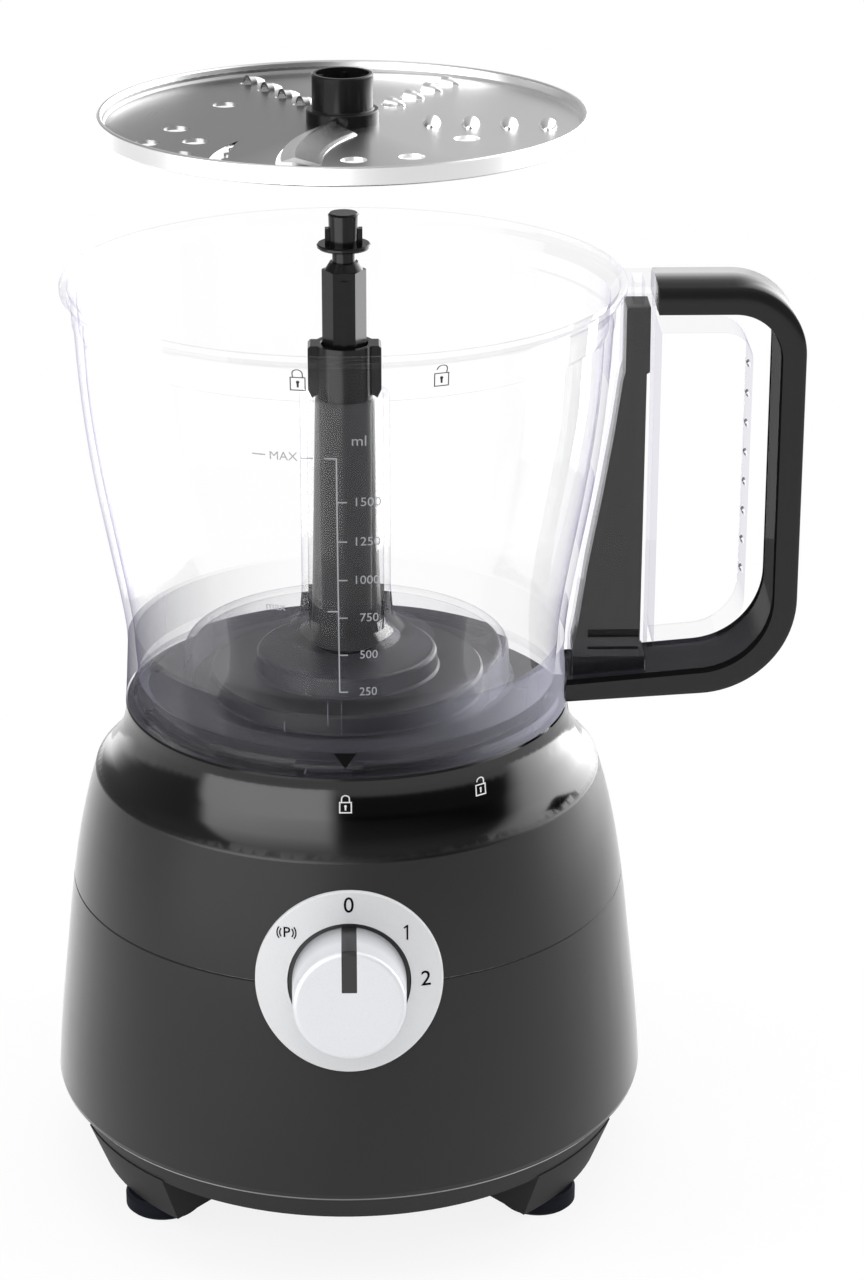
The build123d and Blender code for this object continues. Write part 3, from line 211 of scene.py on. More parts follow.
def satin_black(name, tone, rough, sheen=0.25, ior=1.5):
    f = Finish(name)
    drift = f.noise(16.0)
    grain = f.noise(2600.0, 1.0)
    colour = f.tint(drift, dimmed(tone, 0.92), dimmed(tone, 1.08))
    shader = f.shade(
        Base_Color=colour, Roughness=drift * 0.08 + (rough - 0.04), Specular_IOR_Level=SATIN_GLOSS, IOR=ior,
        Sheen_Weight=sheen, Sheen_Roughness=SATIN_SHEEN_ROUGH, Normal=f.bump(grain, 0.00004, 0.35))
    return f.done(shader)


# The grooves at the slider's foot: their height over the split, and how far forward they reach.
GROOVE_FOOT = 0.0022
GROOVE_HEAD = 0.0098
GROOVE_FRONT = -0.0066


def half_polished_shaded(name, tone, rough, split):
    # Satin above a height, polished below it and in the grooves, as one tool can leave both on a part;
    # there the tone is also darkened to near black, a painted shade.
    f = Finish(name)
    y, z = f.axes()[1:]
    groove = z.within(split + GROOVE_FOOT, split + GROOVE_HEAD) * y.above(GROOVE_FRONT)
    upper = z.above(split) * (1.0 - groove)
    drift = f.noise(20.0)
    flow = f.bump(drift, 0.00003, 0.3)
    satin = f.shade(Base_Color=f.tint(drift, dimmed(tone, 0.94), tone), IOR=1.48,
                    Roughness=drift * 0.06 + (rough - 0.03), Normal=flow)
    # painted shade: the foot and the grooves at 0.12 to 0.16 of the tone, with weak gloss
    polished_shaded = f.shade(Base_Color=f.tint(drift, dimmed(tone, 0.12), dimmed(tone, 0.16)),
                       Specular_IOR_Level=0.1, Roughness=drift * 0.06 + 0.12, Normal=flow)
    return f.done(f.between(upper, polished_shaded, satin))


housing_black = satin_black("housing_black", (0.029, 0.029, 0.0295), 0.35, 1.0)
tray_black = satin_black("tray_black", (0.036, 0.036, 0.0365), 0.50, 0.0, 1.2)
inner_black = satin_black("inner_black", (0.030, 0.030, 0.032), 0.46)
SLIDER_SPLIT = 0.1848
slider_black = half_polished_shaded("slider_black", (0.016, 0.016, 0.0165), 0.42, SLIDER_SPLIT)
print("made", housing_black.name, tray_black.name, inner_black.name, slider_black.name)

# %% [markdown]
# ## Gloss black moulding
# The sloping collar and the handle cover are polished. A polished moulding still has a little
# sink and flow in it, so a broad, very shallow bump bends the reflections and a fine one adds
# the faint haze of handling.

# %% Gloss black
# How quickly polish is lost, as a share for each metre: slowly at the foot, at once at the deck.
SOFT_EDGE = 500.0
SHARP_EDGE = 2000.0


def gloss_black(name, tone, rough, dull_below=0.0, dull_above=1.0, ior=1.5):
    # Polished, and losing its polish below one height and above another, as rubbed faces do.
    f = Finish(name)
    haze = f.noise(130.0, 3.0)
    wave = f.noise(22.0, 0.0)
    z = f.axes()[2]
    rubbed = ((dull_below - z) * SOFT_EDGE).most((z - dull_above) * SHARP_EDGE).share()
    shader = f.shade(Base_Color=f.tint(haze, tone, dimmed(tone, 1.25)), IOR=ior,
                     Roughness=haze * 0.04 + rubbed * 0.3 + rough, Normal=f.bump(wave, 0.00004, 0.3))
    return f.done(shader)


# How fast the cover's outside falls away from its middle line, in metres for each metre squared,
# and how far a face has to look inward to be matt and carry the painted shade.
CROWN = 22.0
INWARD = 0.004


def lined_cover(name, tone, rough, middle):
    # Polished and slightly crowned outside; where a face looks towards the middle of the grip, matt, darker
    # and without reflection, a painted shade.
    f = Finish(name)
    haze = f.noise(130.0, 3.0)
    wave = f.noise(22.0, 0.0)
    x, y, z = f.axes()
    crown = wave * 0.00001 - y * y * CROWN
    skin = f.shade(
        Base_Color=f.tint(haze, tone, dimmed(tone, 1.25)), Roughness=haze * 0.04 + rough,
        Specular_IOR_Level=0.3, Sheen_Weight=1.0, Sheen_Roughness=0.25, Normal=f.bump(crown, 1.0))
    # painted shade: inward faces get half the tone or a little more and no reflection
    shaded_inside = f.shade(Base_Color=f.tint(haze, dimmed(tone, 0.5), dimmed(tone, 0.8)),
                     Roughness=haze * 0.1 + 0.6, IOR=1.0)
    normal = f.axes(out=1)
    inward = normal[0] * (middle[0] - x) + normal[2] * (middle[1] - z)
    return f.done(f.between(inward.above(INWARD), skin, shaded_inside))


# The collar is polished from its crease up to its deck.
CREASE_Z = 0.1485
DECK_Z = 0.1702
GRIP_MIDDLE = (0.112, 0.245)
collar_gloss = gloss_black("collar_gloss", (0.001, 0.001, 0.0011), 0.10, CREASE_Z, DECK_Z)
cover_gloss = lined_cover("cover_gloss", (0.012, 0.012, 0.0125), 0.16, GRIP_MIDDLE)
drive_gloss = gloss_black("drive_gloss", (0.0065, 0.0065, 0.007), 0.17, ior=1.32)
column_grey = gloss_black("column_grey", (0.046, 0.046, 0.049), 0.34, ior=1.2)
pointer_grey = gloss_black("pointer_grey", (0.017, 0.017, 0.018), 0.30)
print("made", collar_gloss.name, cover_gloss.name, drive_gloss.name, column_grey.name, pointer_grey.name)

# %% [markdown]
# ## Rubber feet, silver paint
# The feet are matt rubber. The knob and dial ring are plastic with a silver paint: tiny flakes in
# a clear binder. A fine cell noise stands for the flakes and moves both tone and roughness.

# %% Rubber and silver
def rubber(name, tone):
    f = Finish(name)
    dust = f.noise(260.0, 4.0)
    shader = f.shade(
        Base_Color=f.tint(dust, tone, dimmed(tone, 1.9)), Roughness=dust * 0.2 + 0.55, IOR=1.2,
        Specular_IOR_Level=0.2, Normal=f.bump(f.noise(1500.0), 0.00006, 0.5))
    return f.done(shader)


# The dial's middle and the way that it looks: forward, tilted up by a few degrees.
DIAL_TILT = math.radians(7.0)
DIAL_OUT = Vector((0, -math.cos(DIAL_TILT), math.sin(DIAL_TILT)))
DIAL_UP = Vector((0, math.sin(DIAL_TILT), math.cos(DIAL_TILT)))
DIAL_AT = Vector((0, -0.0936, 0.1088))
# Distance from the dial at which the painted shade on the knob's side begins, and how quickly it deepens.
SHADE_FROM = 0.013
SHADE_RATE = 90.0


def silver_paint(name, tone, rough, metal, shade_depth=0.0):
    # Silver with a painted shade towards the dial, where less light reaches the side of the knob.
    f = Finish(name)
    flake = f.add("ShaderNodeTexVoronoi", {"feature": "F1"}, Vector=f.place(), Scale=3200.0)
    y, z = f.axes()[1:]
    out = (y - DIAL_AT.y) * DIAL_OUT.y + (z - DIAL_AT.z) * DIAL_OUT.z
    painted_shade = ((SHADE_FROM - out) * SHADE_RATE).share() * shade_depth
    paint = f.tint(flake, dimmed(tone, 1.03), dimmed(tone, 0.95))
    # painted shade: near the dial the tone is mixed towards 0.3 of itself
    colour = f.tint(painted_shade, paint, dimmed(tone, 0.3))
    shader = f.shade(Base_Color=colour, Metallic=metal, Roughness=flake * 0.06 + rough, IOR=1.5)
    return f.done(shader)


foot_rubber = rubber("foot_rubber", (0.0075, 0.008, 0.011))
knob_silver = silver_paint("knob_silver", (0.79, 0.80, 0.83), 0.34, 0.2, 0.7)
ring_silver = silver_paint("ring_silver", (0.70, 0.705, 0.72), 0.40, 0.04)
print("made", foot_rubber.name, knob_silver.name, ring_silver.name)

# %% [markdown]
# ## Clear bowl
# The bowl is a clear plastic a little over two millimetres thick. Face on it takes nothing from
# what stands behind it; seen along the wall, the light goes a long way through the plastic and
# picks up its faint violet tint. The gloss on top grows towards the edge too, by Fresnel's law.

# %% Clear plastic
# The foot and floor lie below one height, the handle frame beyond one distance, and the grip's small
# ribs in one narrow box on the frame.
FOOT_TOP = 0.1925
FRAME_X = 0.1005
RIB_X = (0.1300, 0.13146)
RIB_Y = (-0.0016, 0.0012)
RIB_Z = (0.212, 0.286)


def clear_plastic(name, edge, gloss):
    f = Finish(name)
    facing = f.add("ShaderNodeLayerWeight", out=1, Blend=0.5)
    open_way = f.add("ShaderNodeBsdfTransparent", Color=(1, 1, 1, 1))
    long_way = f.add("ShaderNodeBsdfTransparent", Color=(*edge, 1))
    wall = f.between(facing ** 7.0, open_way, long_way)
    # the small grip ribs bend the light away and read as dark dots
    x, y, z = f.axes()
    rib = x.within(*RIB_X) * y.within(*RIB_Y) * z.within(*RIB_Z)
    shade = f.add("ShaderNodeBsdfTransparent", Color=(0.20, 0.20, 0.22, 1))
    wall = f.between(rib, wall, shade)
    smear = f.noise(40.0, 3.0)
    # the thick foot and floor scatter a little light, more so along the wall; faces turned towards +X get
    # more of it as painted light from the side
    floor_part = 1.0 - z.above(FOOT_TOP)
    haze = f.add("ShaderNodeBsdfDiffuse", Color=(0.50, 0.50, 0.60, 1))
    # painted light: the +X side of the foot and floor is whiter whatever lights it
    painted_lit_side = f.axes(out=1)[0].most(0.0) ** 2.0 * facing
    wall = f.between(floor_part * (facing ** 1.5 * 0.06 + painted_lit_side * 0.9 + 0.012), wall, haze)
    dull = smear * 0.03 + floor_part * 0.12 + 0.01
    shine = f.add("ShaderNodeBsdfGlossy", Color=(1, 1, 1, 1), Roughness=dull)
    calm_part = x.above(FRAME_X).most(floor_part)
    amount = f.add("ShaderNodeFresnel", IOR=1.42) * (1.0 - calm_part * 0.7) * gloss
    return f.done(f.between(amount, wall, shine))


bowl_clear = clear_plastic("bowl_clear", (0.52, 0.50, 0.61), 0.12)
print("made", bowl_clear.name)

# %% [markdown]
# ## Polished steel disc
# Discs are pressed from stainless sheet and finished on a turning machine, so what little grain
# they have runs in circles. The distance from the drive axis feeds a noise, which gives rings of
# slightly different roughness and a bump far finer than can be felt. The tone follows the bearing
# round the axis as a painted highlight fan, from dull to bright, where turned rings would catch the
# light. A rolled rim outside a radius has no painted fan.

# %% Steel
def turned_steel(name, tone, rough, dull=0.93, rim=1.0):
    f = Finish(name)
    x, y, z = f.axes()
    radius = (x * x + y * y) ** 0.5
    # painted highlight: the base tone is dull towards -X and full towards +X, and even beyond the rim
    # radius
    painted_fan = (x / radius * 0.9 + 0.5).share().most(radius.above(rim))
    along = f.add("ShaderNodeCombineXYZ", X=radius, Y=z * 0.4)
    rings = f.noise(5200.0, 2.0, at=along)
    cloud = f.noise(30.0)
    shader = f.shade(
        Base_Color=f.tint(painted_fan, dimmed(tone, dull), tone), Metallic=1.0,
        Roughness=rings * 0.06 + cloud * 0.05 + rough, Normal=f.bump(rings, 0.000006, 0.25))
    return f.done(shader)


DISC_RIM_IN = 0.0756
disc_steel = turned_steel("disc_steel", (0.90, 0.90, 0.905), 0.24, 0.34, DISC_RIM_IN)
blade_steel = turned_steel("blade_steel", (0.80, 0.80, 0.80), 0.20)
shaft_steel = turned_steel("shaft_steel", (0.60, 0.60, 0.60), 0.22)
print("made", disc_steel.name, blade_steel.name, shaft_steel.name)

# %% [markdown]
# ## Inside the base
# Nothing here shows while the housing is closed, but the parts are there, so they get honest
# finishes: stacked laminations as fine stripes over the height, enamelled copper, cast metal,
# carbon and natural nylon.

# %% Inner finishes
SHEET = 0.0005


def laminated(name, tone):
    f = Finish(name)
    stripe = (f.axes()[2] * (2 * math.pi / SHEET)).sine() * 0.5 + 0.5
    shader = f.shade(Base_Color=f.tint(stripe, dimmed(tone, 0.7), tone), Metallic=0.8,
                     Roughness=stripe * 0.1 + 0.4, Normal=f.bump(stripe, 0.00008, 0.5))
    return f.done(shader)


def grained(name, tone, rough, metal, scale):
    f = Finish(name)
    grain = f.noise(scale, 4.0)
    shader = f.shade(Base_Color=f.tint(grain, dimmed(tone, 0.85), dimmed(tone, 1.1)),
                     Metallic=metal, Roughness=grain * 0.12 + rough, Normal=f.bump(grain, 0.00008, 0.4))
    return f.done(shader)


core_sheet = laminated("core_sheet", (0.22, 0.22, 0.23))
copper_wire = grained("copper_wire", (0.52, 0.21, 0.08), 0.28, 0.9, 900.0)
cast_metal = grained("cast_metal", (0.55, 0.55, 0.56), 0.42, 1.0, 700.0)
carbon_block = grained("carbon_block", (0.02, 0.02, 0.02), 0.6, 0.0, 1200.0)
gear_nylon = grained("gear_nylon", (0.72, 0.70, 0.62), 0.4, 0.0, 400.0)
print("made the finishes of the inner parts")

# %% [markdown]
# ## Giving the solids their finishes
# Each solid keeps its mesh and only gets a material in its slots.

# %% Finish for each solid
FINISH = {
    housing_black: "lower_housing upper_housing",
    tray_black: "bottom_tray",
    collar_gloss: "top_cover",
    cover_gloss: "handle_cover",
    drive_gloss: "drive_collar disc_stem disc_hub",
    pointer_grey: "knob_pointer",
    slider_black: "interlock_slider",
    inner_black: "rotary_switch micro_switch brush_holders cooling_fan interlock_plunger",
    column_grey: "drive_column",
    foot_rubber: "foot_front_left foot_front_right foot_rear_left foot_rear_right "
                 "cord_gland shaft_seal",
    knob_silver: "knob",
    ring_silver: "dial_ring",
    bowl_clear: "bowl",
    disc_steel: "disc_plate",
    blade_steel: "slicing_blade",
    shaft_steel: "output_shaft motor_shaft knob_shaft motor_pinion motor_screws plate_screws "
                 "tray_screws plunger_spring output_bearing_low output_bearing_top "
                 "motor_bearing_low motor_bearing_top",
    core_sheet: "motor_stator armature",
    copper_wire: "field_coils armature_windings commutator",
    cast_metal: "gear_plate motor_bracket_low motor_bracket_top",
    carbon_block: "carbon_brushes",
    gear_nylon: "output_gear",
}
for finish, names in FINISH.items():
    for name in names.split():
        slots = nodes[name].data.materials
        slots.clear()
        slots.append(finish)
print("dressed", sum(len(n.split()) for n in FINISH.values()), "of", len(nodes), "solids")

# %% [markdown]
# ## Ink
# Printing ink dries matt and nearly without gloss. A fine noise varies it, because a printed face
# is never quite even. The scale has two tones of grey: fresh on the limits, darker on the rest.

# %% Ink
INK_ROUGH = 0.7


def ink(name, tone):
    f = Finish(name)
    speck = f.noise(3000.0)
    colour = f.tint(speck, dimmed(tone, 0.95), tone)
    shader = f.shade(Base_Color=colour, Roughness=speck * 0.1 + INK_ROUGH, Specular_IOR_Level=0.03)
    return f.done(shader)


white_ink = ink("white_ink", (0.80, 0.80, 0.80))
black_ink = ink("black_ink", (0.006, 0.006, 0.006))
grey_ink = ink("grey_ink", (0.40, 0.41, 0.43))
pale_ink = ink("pale_ink", (0.50, 0.51, 0.53))
outline_ink = ink("outline_ink", (0.05, 0.05, 0.055))
print("made", white_ink.name, black_ink.name, grey_ink.name, pale_ink.name, outline_ink.name)

# %% [markdown]
# ## Printing on a curved surface
# The marks on a bowl or a dial are pad printed: flat artwork pressed on to a curved part. The same
# is done here. Artwork is laid out flat in millimetres, then every point is thrown as a ray at
# the solid and stops a few hundredths in front of it. A Solidify modifier gives the ink its body.

# %% Printing
LIFT = 0.00006
INK_BODY = 0.00005
# Where the rays start: distance from the axis for walls, and from its middle for the dial.
WALL_START = 0.2
DIAL_START = 0.05
# Radius at which flat artwork keeps its width, for each printed solid.
PRINT_R = {"bowl": 0.0805, "top_cover": 0.0800}
trees = {}


def surface(node):
    if node not in trees:
        mesh = nodes[node].data
        points = [v.co.copy() for v in mesh.vertices]
        trees[node] = BVHTree.FromPolygons(points, [tuple(p.vertices) for p in mesh.polygons])
    return trees[node]


def on_wall(node, azimuth):
    # Flat artwork in mm, x along the wall and y up from z = 0, thrown at the axis of the bowl or base.
    tree = surface(node)

    def throw(x, y):
        a = math.radians(azimuth) + x / 1000 / PRINT_R[node]
        out = Vector((math.cos(a), math.sin(a), 0))
        hit, normal, _, _ = tree.ray_cast(out * WALL_START + Vector((0, 0, y / 1000)), -out)
        return hit + normal * LIFT
    return throw


def on_dial(x, y):
    # Flat artwork in mm on the dial, x right and y up from its middle.
    start = DIAL_AT + Vector((x / 1000, 0, 0)) + DIAL_UP * (y / 1000) + DIAL_OUT * DIAL_START
    hit, normal, _, _ = surface("dial_ring").ray_cast(start, -DIAL_OUT)
    return hit + normal * LIFT


def print_piece(name, flat, throw, finish, body):
    points, faces = flat
    mesh = bpy.data.meshes.new(name)
    mesh.from_pydata([throw(x, y) for x, y in points], [], faces)
    mesh.update()
    piece = bpy.data.objects.new(name, mesh)
    bpy.context.collection.objects.link(piece)
    mesh.materials.append(finish)
    body_mod = piece.modifiers.new("ink body", "SOLIDIFY")
    body_mod.thickness = INK_BODY
    body_mod.offset = 0.0
    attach(piece, body)
    print("printed", name, len(faces), "faces")


print("print helpers ready")

# %% [markdown]
# ## Flat artwork
# Letters come from Blender's own font, made into a flat mesh. Lines and arcs are strips of small
# quads, so they can follow a curved wall. Every artwork is a list of points and faces in
# millimetres, and several can be joined into one.

# %% Artwork helpers
def join(*parts):
    points, faces = [], []
    for more_points, more_faces in parts:
        base = len(points)
        points.extend(more_points)
        faces.extend([tuple(base + i for i in face) for face in more_faces])
    return points, faces


# Height of a capital as a share of the font's size.
CAPITAL = 0.7


def letters(text, height, x=0.0, y=0.0, align="CENTER", swell=0.0):
    curve = bpy.data.curves.new("letters", "FONT")
    curve.body = text
    curve.size = height / CAPITAL
    curve.offset = swell
    curve.align_x = align
    curve.align_y = "CENTER"
    curve.fill_mode = "FRONT"
    curve.resolution_u = 4
    holder = bpy.data.objects.new("letters", curve)
    bpy.context.collection.objects.link(holder)
    mesh = bpy.data.meshes.new_from_object(holder.evaluated_get(bpy.context.evaluated_depsgraph_get()))
    points = [(v.co.x + x, v.co.y + y) for v in mesh.vertices]
    faces = [tuple(p.vertices) for p in mesh.polygons]
    bpy.data.objects.remove(holder)
    bpy.data.meshes.remove(mesh)
    return points, faces


def strip(path, width):
    # A line of even width through points, closed into quads.
    points, faces = [], []
    for i, (x, y) in enumerate(path):
        ax, ay = path[max(i - 1, 0)]
        bx, by = path[min(i + 1, len(path) - 1)]
        length = math.hypot(bx - ax, by - ay) or 1.0
        nx, ny = -(by - ay) / length * width / 2, (bx - ax) / length * width / 2
        points.extend([(x + nx, y + ny), (x - nx, y - ny)])
        if i:
            k = 2 * i
            faces.append((k - 2, k - 1, k + 1, k))
    return points, faces


def arc(cx, cy, radius, start, end, count=14):
    step = (end - start) / count
    return [(cx + radius * math.cos(math.radians(start + step * k)),
             cy + radius * math.sin(math.radians(start + step * k))) for k in range(count + 1)]


def run(x0, y0, x1, y1, count):
    return [(x0 + (x1 - x0) * k / count, y0 + (y1 - y0) * k / count) for k in range(count + 1)]


print("artwork helpers ready")

# %% [markdown]
# ## Padlock sign
# A box, a shackle and a keyhole. The open one has only the right leg of its shackle.

# %% Padlock
def padlock(x, y, size, pen, opened):
    # Outlined padlock with a keyhole, its body `size` wide and centred on x, with y at its foot.
    w, h = size / 2, size * 0.98
    left, right = x - w * 0.68, x + w * 0.68
    box = [strip(run(x - w, y, x + w, y, 4), pen), strip(run(x - w, y + h, x + w, y + h, 4), pen),
           strip(run(x - w, y - pen / 2, x - w, y + h + pen / 2, 4), pen),
           strip(run(x + w, y - pen / 2, x + w, y + h + pen / 2, 4), pen)]
    top = y + h + size * 0.34
    if opened:
        cx = right - (right - left) / 2 - size * 0.02
        shackle = [strip(run(right, y + h, right, top, 3), pen),
                   strip(arc(cx, top, right - cx, 0, 185), pen)]
    else:
        shackle = [strip(run(left, y + h, left, top, 3), pen),
                   strip(run(right, y + h, right, top, 3), pen),
                   strip(arc(x, top, (right - left) / 2, 0, 180), pen)]
    eye = (arc(x, y + h * 0.62, size * 0.12, 0, 360, 12)[:-1], [tuple(range(12))])
    slot = strip(run(x, y + h * 0.22, x, y + h * 0.6, 3), size * 0.14)
    return join(*box, *shackle, eye, slot)


def leaning(art, foot, squeeze, lean):
    # Artwork set on a height, squeezed to suit a slope and leant over.
    points, faces = art
    return [(x + y * lean, foot + y * squeeze) for x, y in points], faces


print("padlock ready")

# %% [markdown]
# ## Marks on the dial
# The ring carries the speeds and a pulse sign: a letter between two pairs of small arcs.

# %% Dial marks
def at_dial(degrees, radius):
    return radius * math.sin(math.radians(degrees)), radius * math.cos(math.radians(degrees))


px, py = at_dial(-50.5, 25.6)
pulse = [letters("P", 3.3, px, py, swell=0.04)]
for side in (-1, 1):
    for reach in (2.15, 3.0):
        middle = 90 + side * -90
        pulse.append(strip(arc(px, py, reach, middle - 38, middle + 38, 8), 0.42))
one_x, one_y = at_dial(49.0, 24.5)
one = join(strip(run(one_x, one_y - 2.4, one_x, one_y + 2.4, 4), 0.55),
           strip(run(one_x - 1.1, one_y + 1.5, one_x + 0.1, one_y + 2.2, 3), 0.5))
DIGIT = 4.9
zero = letters("0", DIGIT, *at_dial(0.0, 25.4), swell=0.03)
two = letters("2", DIGIT, *at_dial(89.5, 24.4), swell=0.03)
dial_art = join(zero, one, two, *pulse)
print_piece("dial_marks", dial_art, on_dial, black_ink, "base")

# %% [markdown]
# ## Lock marks
# White padlocks on the gloss collar show where the bowl's arrow stands when it is locked and when
# it can be lifted. The black ones near the rim are for a lid.

# %% Lock marks and arrow
COLLAR_FOOT = 159.7
COLLAR_LOCK = 3.9
COLLAR_PEN = 0.45
COLLAR_SQUEEZE = 0.83
RIM_FOOT = 302.8
RIM_LOCK = 4.1
RIM_PEN = 0.3
COLLAR_MARKS = [("collar_locks", False, -90.6, 0.0), ("collar_unlock", True, -55.7, 0.1)]
RIM_MARKS = [("rim_lock", False, -99.2), ("rim_unlock", True, -70.7)]
for name, opened, azimuth, lean in COLLAR_MARKS:
    flat = padlock(0.0, 0.0, COLLAR_LOCK, COLLAR_PEN, opened)
    art = leaning(flat, COLLAR_FOOT, COLLAR_SQUEEZE, lean)
    print_piece(name, art, on_wall("top_cover", azimuth), white_ink, "base")
for name, opened, azimuth in RIM_MARKS:
    art = padlock(0.0, RIM_FOOT, RIM_LOCK, RIM_PEN, opened)
    print_piece(name, art, on_wall("bowl", azimuth), outline_ink, "bowl")
arrow = ([(-4.0, 179.2), (0.0, 179.2), (4.0, 179.2), (-1.9, 176.6), (1.9, 176.6), (0.0, 173.9)],
         [(0, 3, 1), (1, 3, 4), (1, 4, 2), (3, 5, 4)])
print_piece("bowl_arrow", arrow, on_wall("bowl", -90.6), black_ink, "bowl")

# %% [markdown]
# ## Measuring scale
# One long line with a tick and a number for each quarter litre. The ticks repeat, so a small
# Geometry Nodes tree lays them out: a Mesh Line of points, a little grid on each, realized and
# given its material. The line of ticks is then a flat mesh and is printed like the rest.

# %% Ticks by Geometry Nodes
def tick_tree(finish):
    tree = bpy.data.node_groups.new("scale ticks", "GeometryNodeTree")
    face = tree.interface
    face.new_socket("Geometry", in_out="OUTPUT", socket_type="NodeSocketGeometry")
    face.new_socket("Count", in_out="INPUT", socket_type="NodeSocketInt")
    for label in ("Pitch", "Length", "Pen"):
        face.new_socket(label, in_out="INPUT", socket_type="NodeSocketFloat")

    def make(kind, **values):
        node = tree.nodes.new(kind)
        for key, item in values.items():
            slot = node.inputs[key.replace("_", " ")]
            if hasattr(item, "is_linked"):
                tree.links.new(item, slot)
            else:
                slot.default_value = item
        return node

    given = tree.nodes.new("NodeGroupInput").outputs
    step = make("ShaderNodeCombineXYZ", Y=given["Pitch"])
    row = make("GeometryNodeMeshLine", Count=given["Count"], Offset=step.outputs[0])
    tick = make("GeometryNodeMeshGrid", Size_X=given["Length"], Size_Y=given["Pen"],
                Vertices_X=4, Vertices_Y=2)
    shift = make("ShaderNodeMath", Value=given["Length"])
    shift.operation = "MULTIPLY"
    shift.inputs[1].default_value = 0.5
    middle = make("ShaderNodeCombineXYZ", X=shift.outputs[0])
    moved = make("GeometryNodeTransform", Geometry=tick.outputs[0], Translation=middle.outputs[0])
    spread = make("GeometryNodeInstanceOnPoints", Points=row.outputs[0], Instance=moved.outputs[0])
    solid = make("GeometryNodeRealizeInstances", Geometry=spread.outputs[0])
    inked = make("GeometryNodeSetMaterial", Geometry=solid.outputs[0], Material=finish)
    tree.links.new(inked.outputs[0], tree.nodes.new("NodeGroupOutput").inputs[0])
    return tree


def tick_row(count, pitch, length, pen, x, y, finish):
    holder = bpy.data.objects.new("ticks", bpy.data.meshes.new("ticks"))
    bpy.context.collection.objects.link(holder)
    maker = holder.modifiers.new("ticks", "NODES")
    maker.node_group = tick_tree(finish)
    wanted = {"Count": count, "Pitch": pitch, "Length": length, "Pen": pen}
    for item in maker.node_group.interface.items_tree:
        if item.in_out == "INPUT":
            maker[item.identifier] = wanted[item.name]
    mesh = bpy.data.meshes.new_from_object(holder.evaluated_get(bpy.context.evaluated_depsgraph_get()))
    points = [(v.co.x + x, v.co.y + y) for v in mesh.vertices]
    faces = [tuple(p.vertices) for p in mesh.polygons]
    bpy.data.objects.remove(holder)
    bpy.data.meshes.remove(mesh)
    return points, faces


SCALE_LOW = 200.1
SCALE_STEP = 13.3
SCALE_MARKS = 6
SCALE_PEN = 0.45
TICK = 2.9
ticks = tick_row(SCALE_MARKS, SCALE_STEP, TICK, SCALE_PEN, 0.0, SCALE_LOW, grey_ink)
print("laid out", len(ticks[1]) // 3, "ticks")

# %% [markdown]
# ## Scale, numbers and the two limits
# The numbers stand to the right of the line, the limits to the left with short dashes.

# %% Scale print
SCALE_TOP = 281.0
SCALE_AZIMUTH = -91.8
LOW_LIMIT = 229.0
LIMIT_PEN = 0.4
MARK_ML = 250
NUMBER = 2.9
NUMBER_END = 12.9


def number(k):
    return letters(str(MARK_ML * (k + 1)), NUMBER, NUMBER_END, SCALE_LOW + SCALE_STEP * k, "RIGHT")


def dash(start, end, height, pen=LIMIT_PEN):
    return strip(run(start, height, end, height, 4), pen)


scale_art = join(
    strip(run(0, SCALE_LOW, 0, SCALE_TOP, 40), SCALE_PEN), ticks,
    *[number(k) for k in range(SCALE_MARKS)],
    dash(-3.4, 0.2, SCALE_TOP, SCALE_PEN), letters("ml", 3.3, 4.1, SCALE_TOP + 5.6, "LEFT"))
print_piece("scale_marks", scale_art, on_wall("bowl", SCALE_AZIMUTH), grey_ink, "bowl")
limit_art = join(
    letters("MAX", 2.7, -15.2, SCALE_TOP + 0.2), dash(-24.3, -20.4, SCALE_TOP + 0.4),
    dash(-10.0, -6.6, SCALE_TOP), letters("max", 2.7, -20.2, LOW_LIMIT + 0.8), dash(-3.4, 0.0, LOW_LIMIT))
print_piece("limit_marks", limit_art, on_wall("bowl", SCALE_AZIMUTH), pale_ink, "bowl")

# %% [markdown]
# ## Worktop
# The machine stands on a round pale board. A real one would be paper, lit until it is white. Here
# the board is white by itself to the camera, to glass and to mirrors, and only under the machine a
# share of its lit surface shows, which keeps the soft shadow.

# %% Floor
FLOOR_R = 0.62
FLOOR_SIDES = 96
# The lit board shows by this share within this radius, and fades out beyond it.
SHADOW_R = 0.16
SHADOW_SHARE = 0.14
floor_mesh = bpy.data.meshes.new("worktop")
turns = [2 * math.pi * k / FLOOR_SIDES for k in range(FLOOR_SIDES)]
edge = [(FLOOR_R * math.cos(t), FLOOR_R * math.sin(t), 0) for t in turns]
floor_mesh.from_pydata(edge, [], [tuple(range(FLOOR_SIDES))])
floor = bpy.data.objects.new("worktop", floor_mesh)
bpy.context.collection.objects.link(floor)
pale = Finish("worktop_pale")
paths = pale.rays()
fibre = pale.noise(60.0, 3.0)
board = pale.shade(Base_Color=pale.tint(fibre, (0.94, 0.94, 0.94), (0.96, 0.96, 0.96)), Roughness=0.6)
glow = pale.add("ShaderNodeEmission", Color=(1, 1, 1, 1), Strength=1.0)
plain = paths["Is Camera Ray"].most(paths["Is Transmission Ray"]).most(paths["Is Glossy Ray"])
x, y = pale.axes()[:2]
away = (((x * x + y * y) ** 0.5 - SHADOW_R) * 4.0).share()
blend = pale.between(plain * (away * SHADOW_SHARE + (1.0 - SHADOW_SHARE)), board, glow)
floor_mesh.materials.append(pale.done(blend))
print("laid the floor")

# %% [markdown]
# ## Light tent
# Black plastic shows little colour of its own: what one sees on it is the tent that it stands in.
# So the world is plain white to the camera and even to matt surfaces, but to mirrors it has panels.
# A colour ramp over the bearing gives them: a bright wall on each side, a dark gap at the front
# right and a dim back. A roof, the white ground and a faint line of light at the horizon follow
# from the height of the direction.

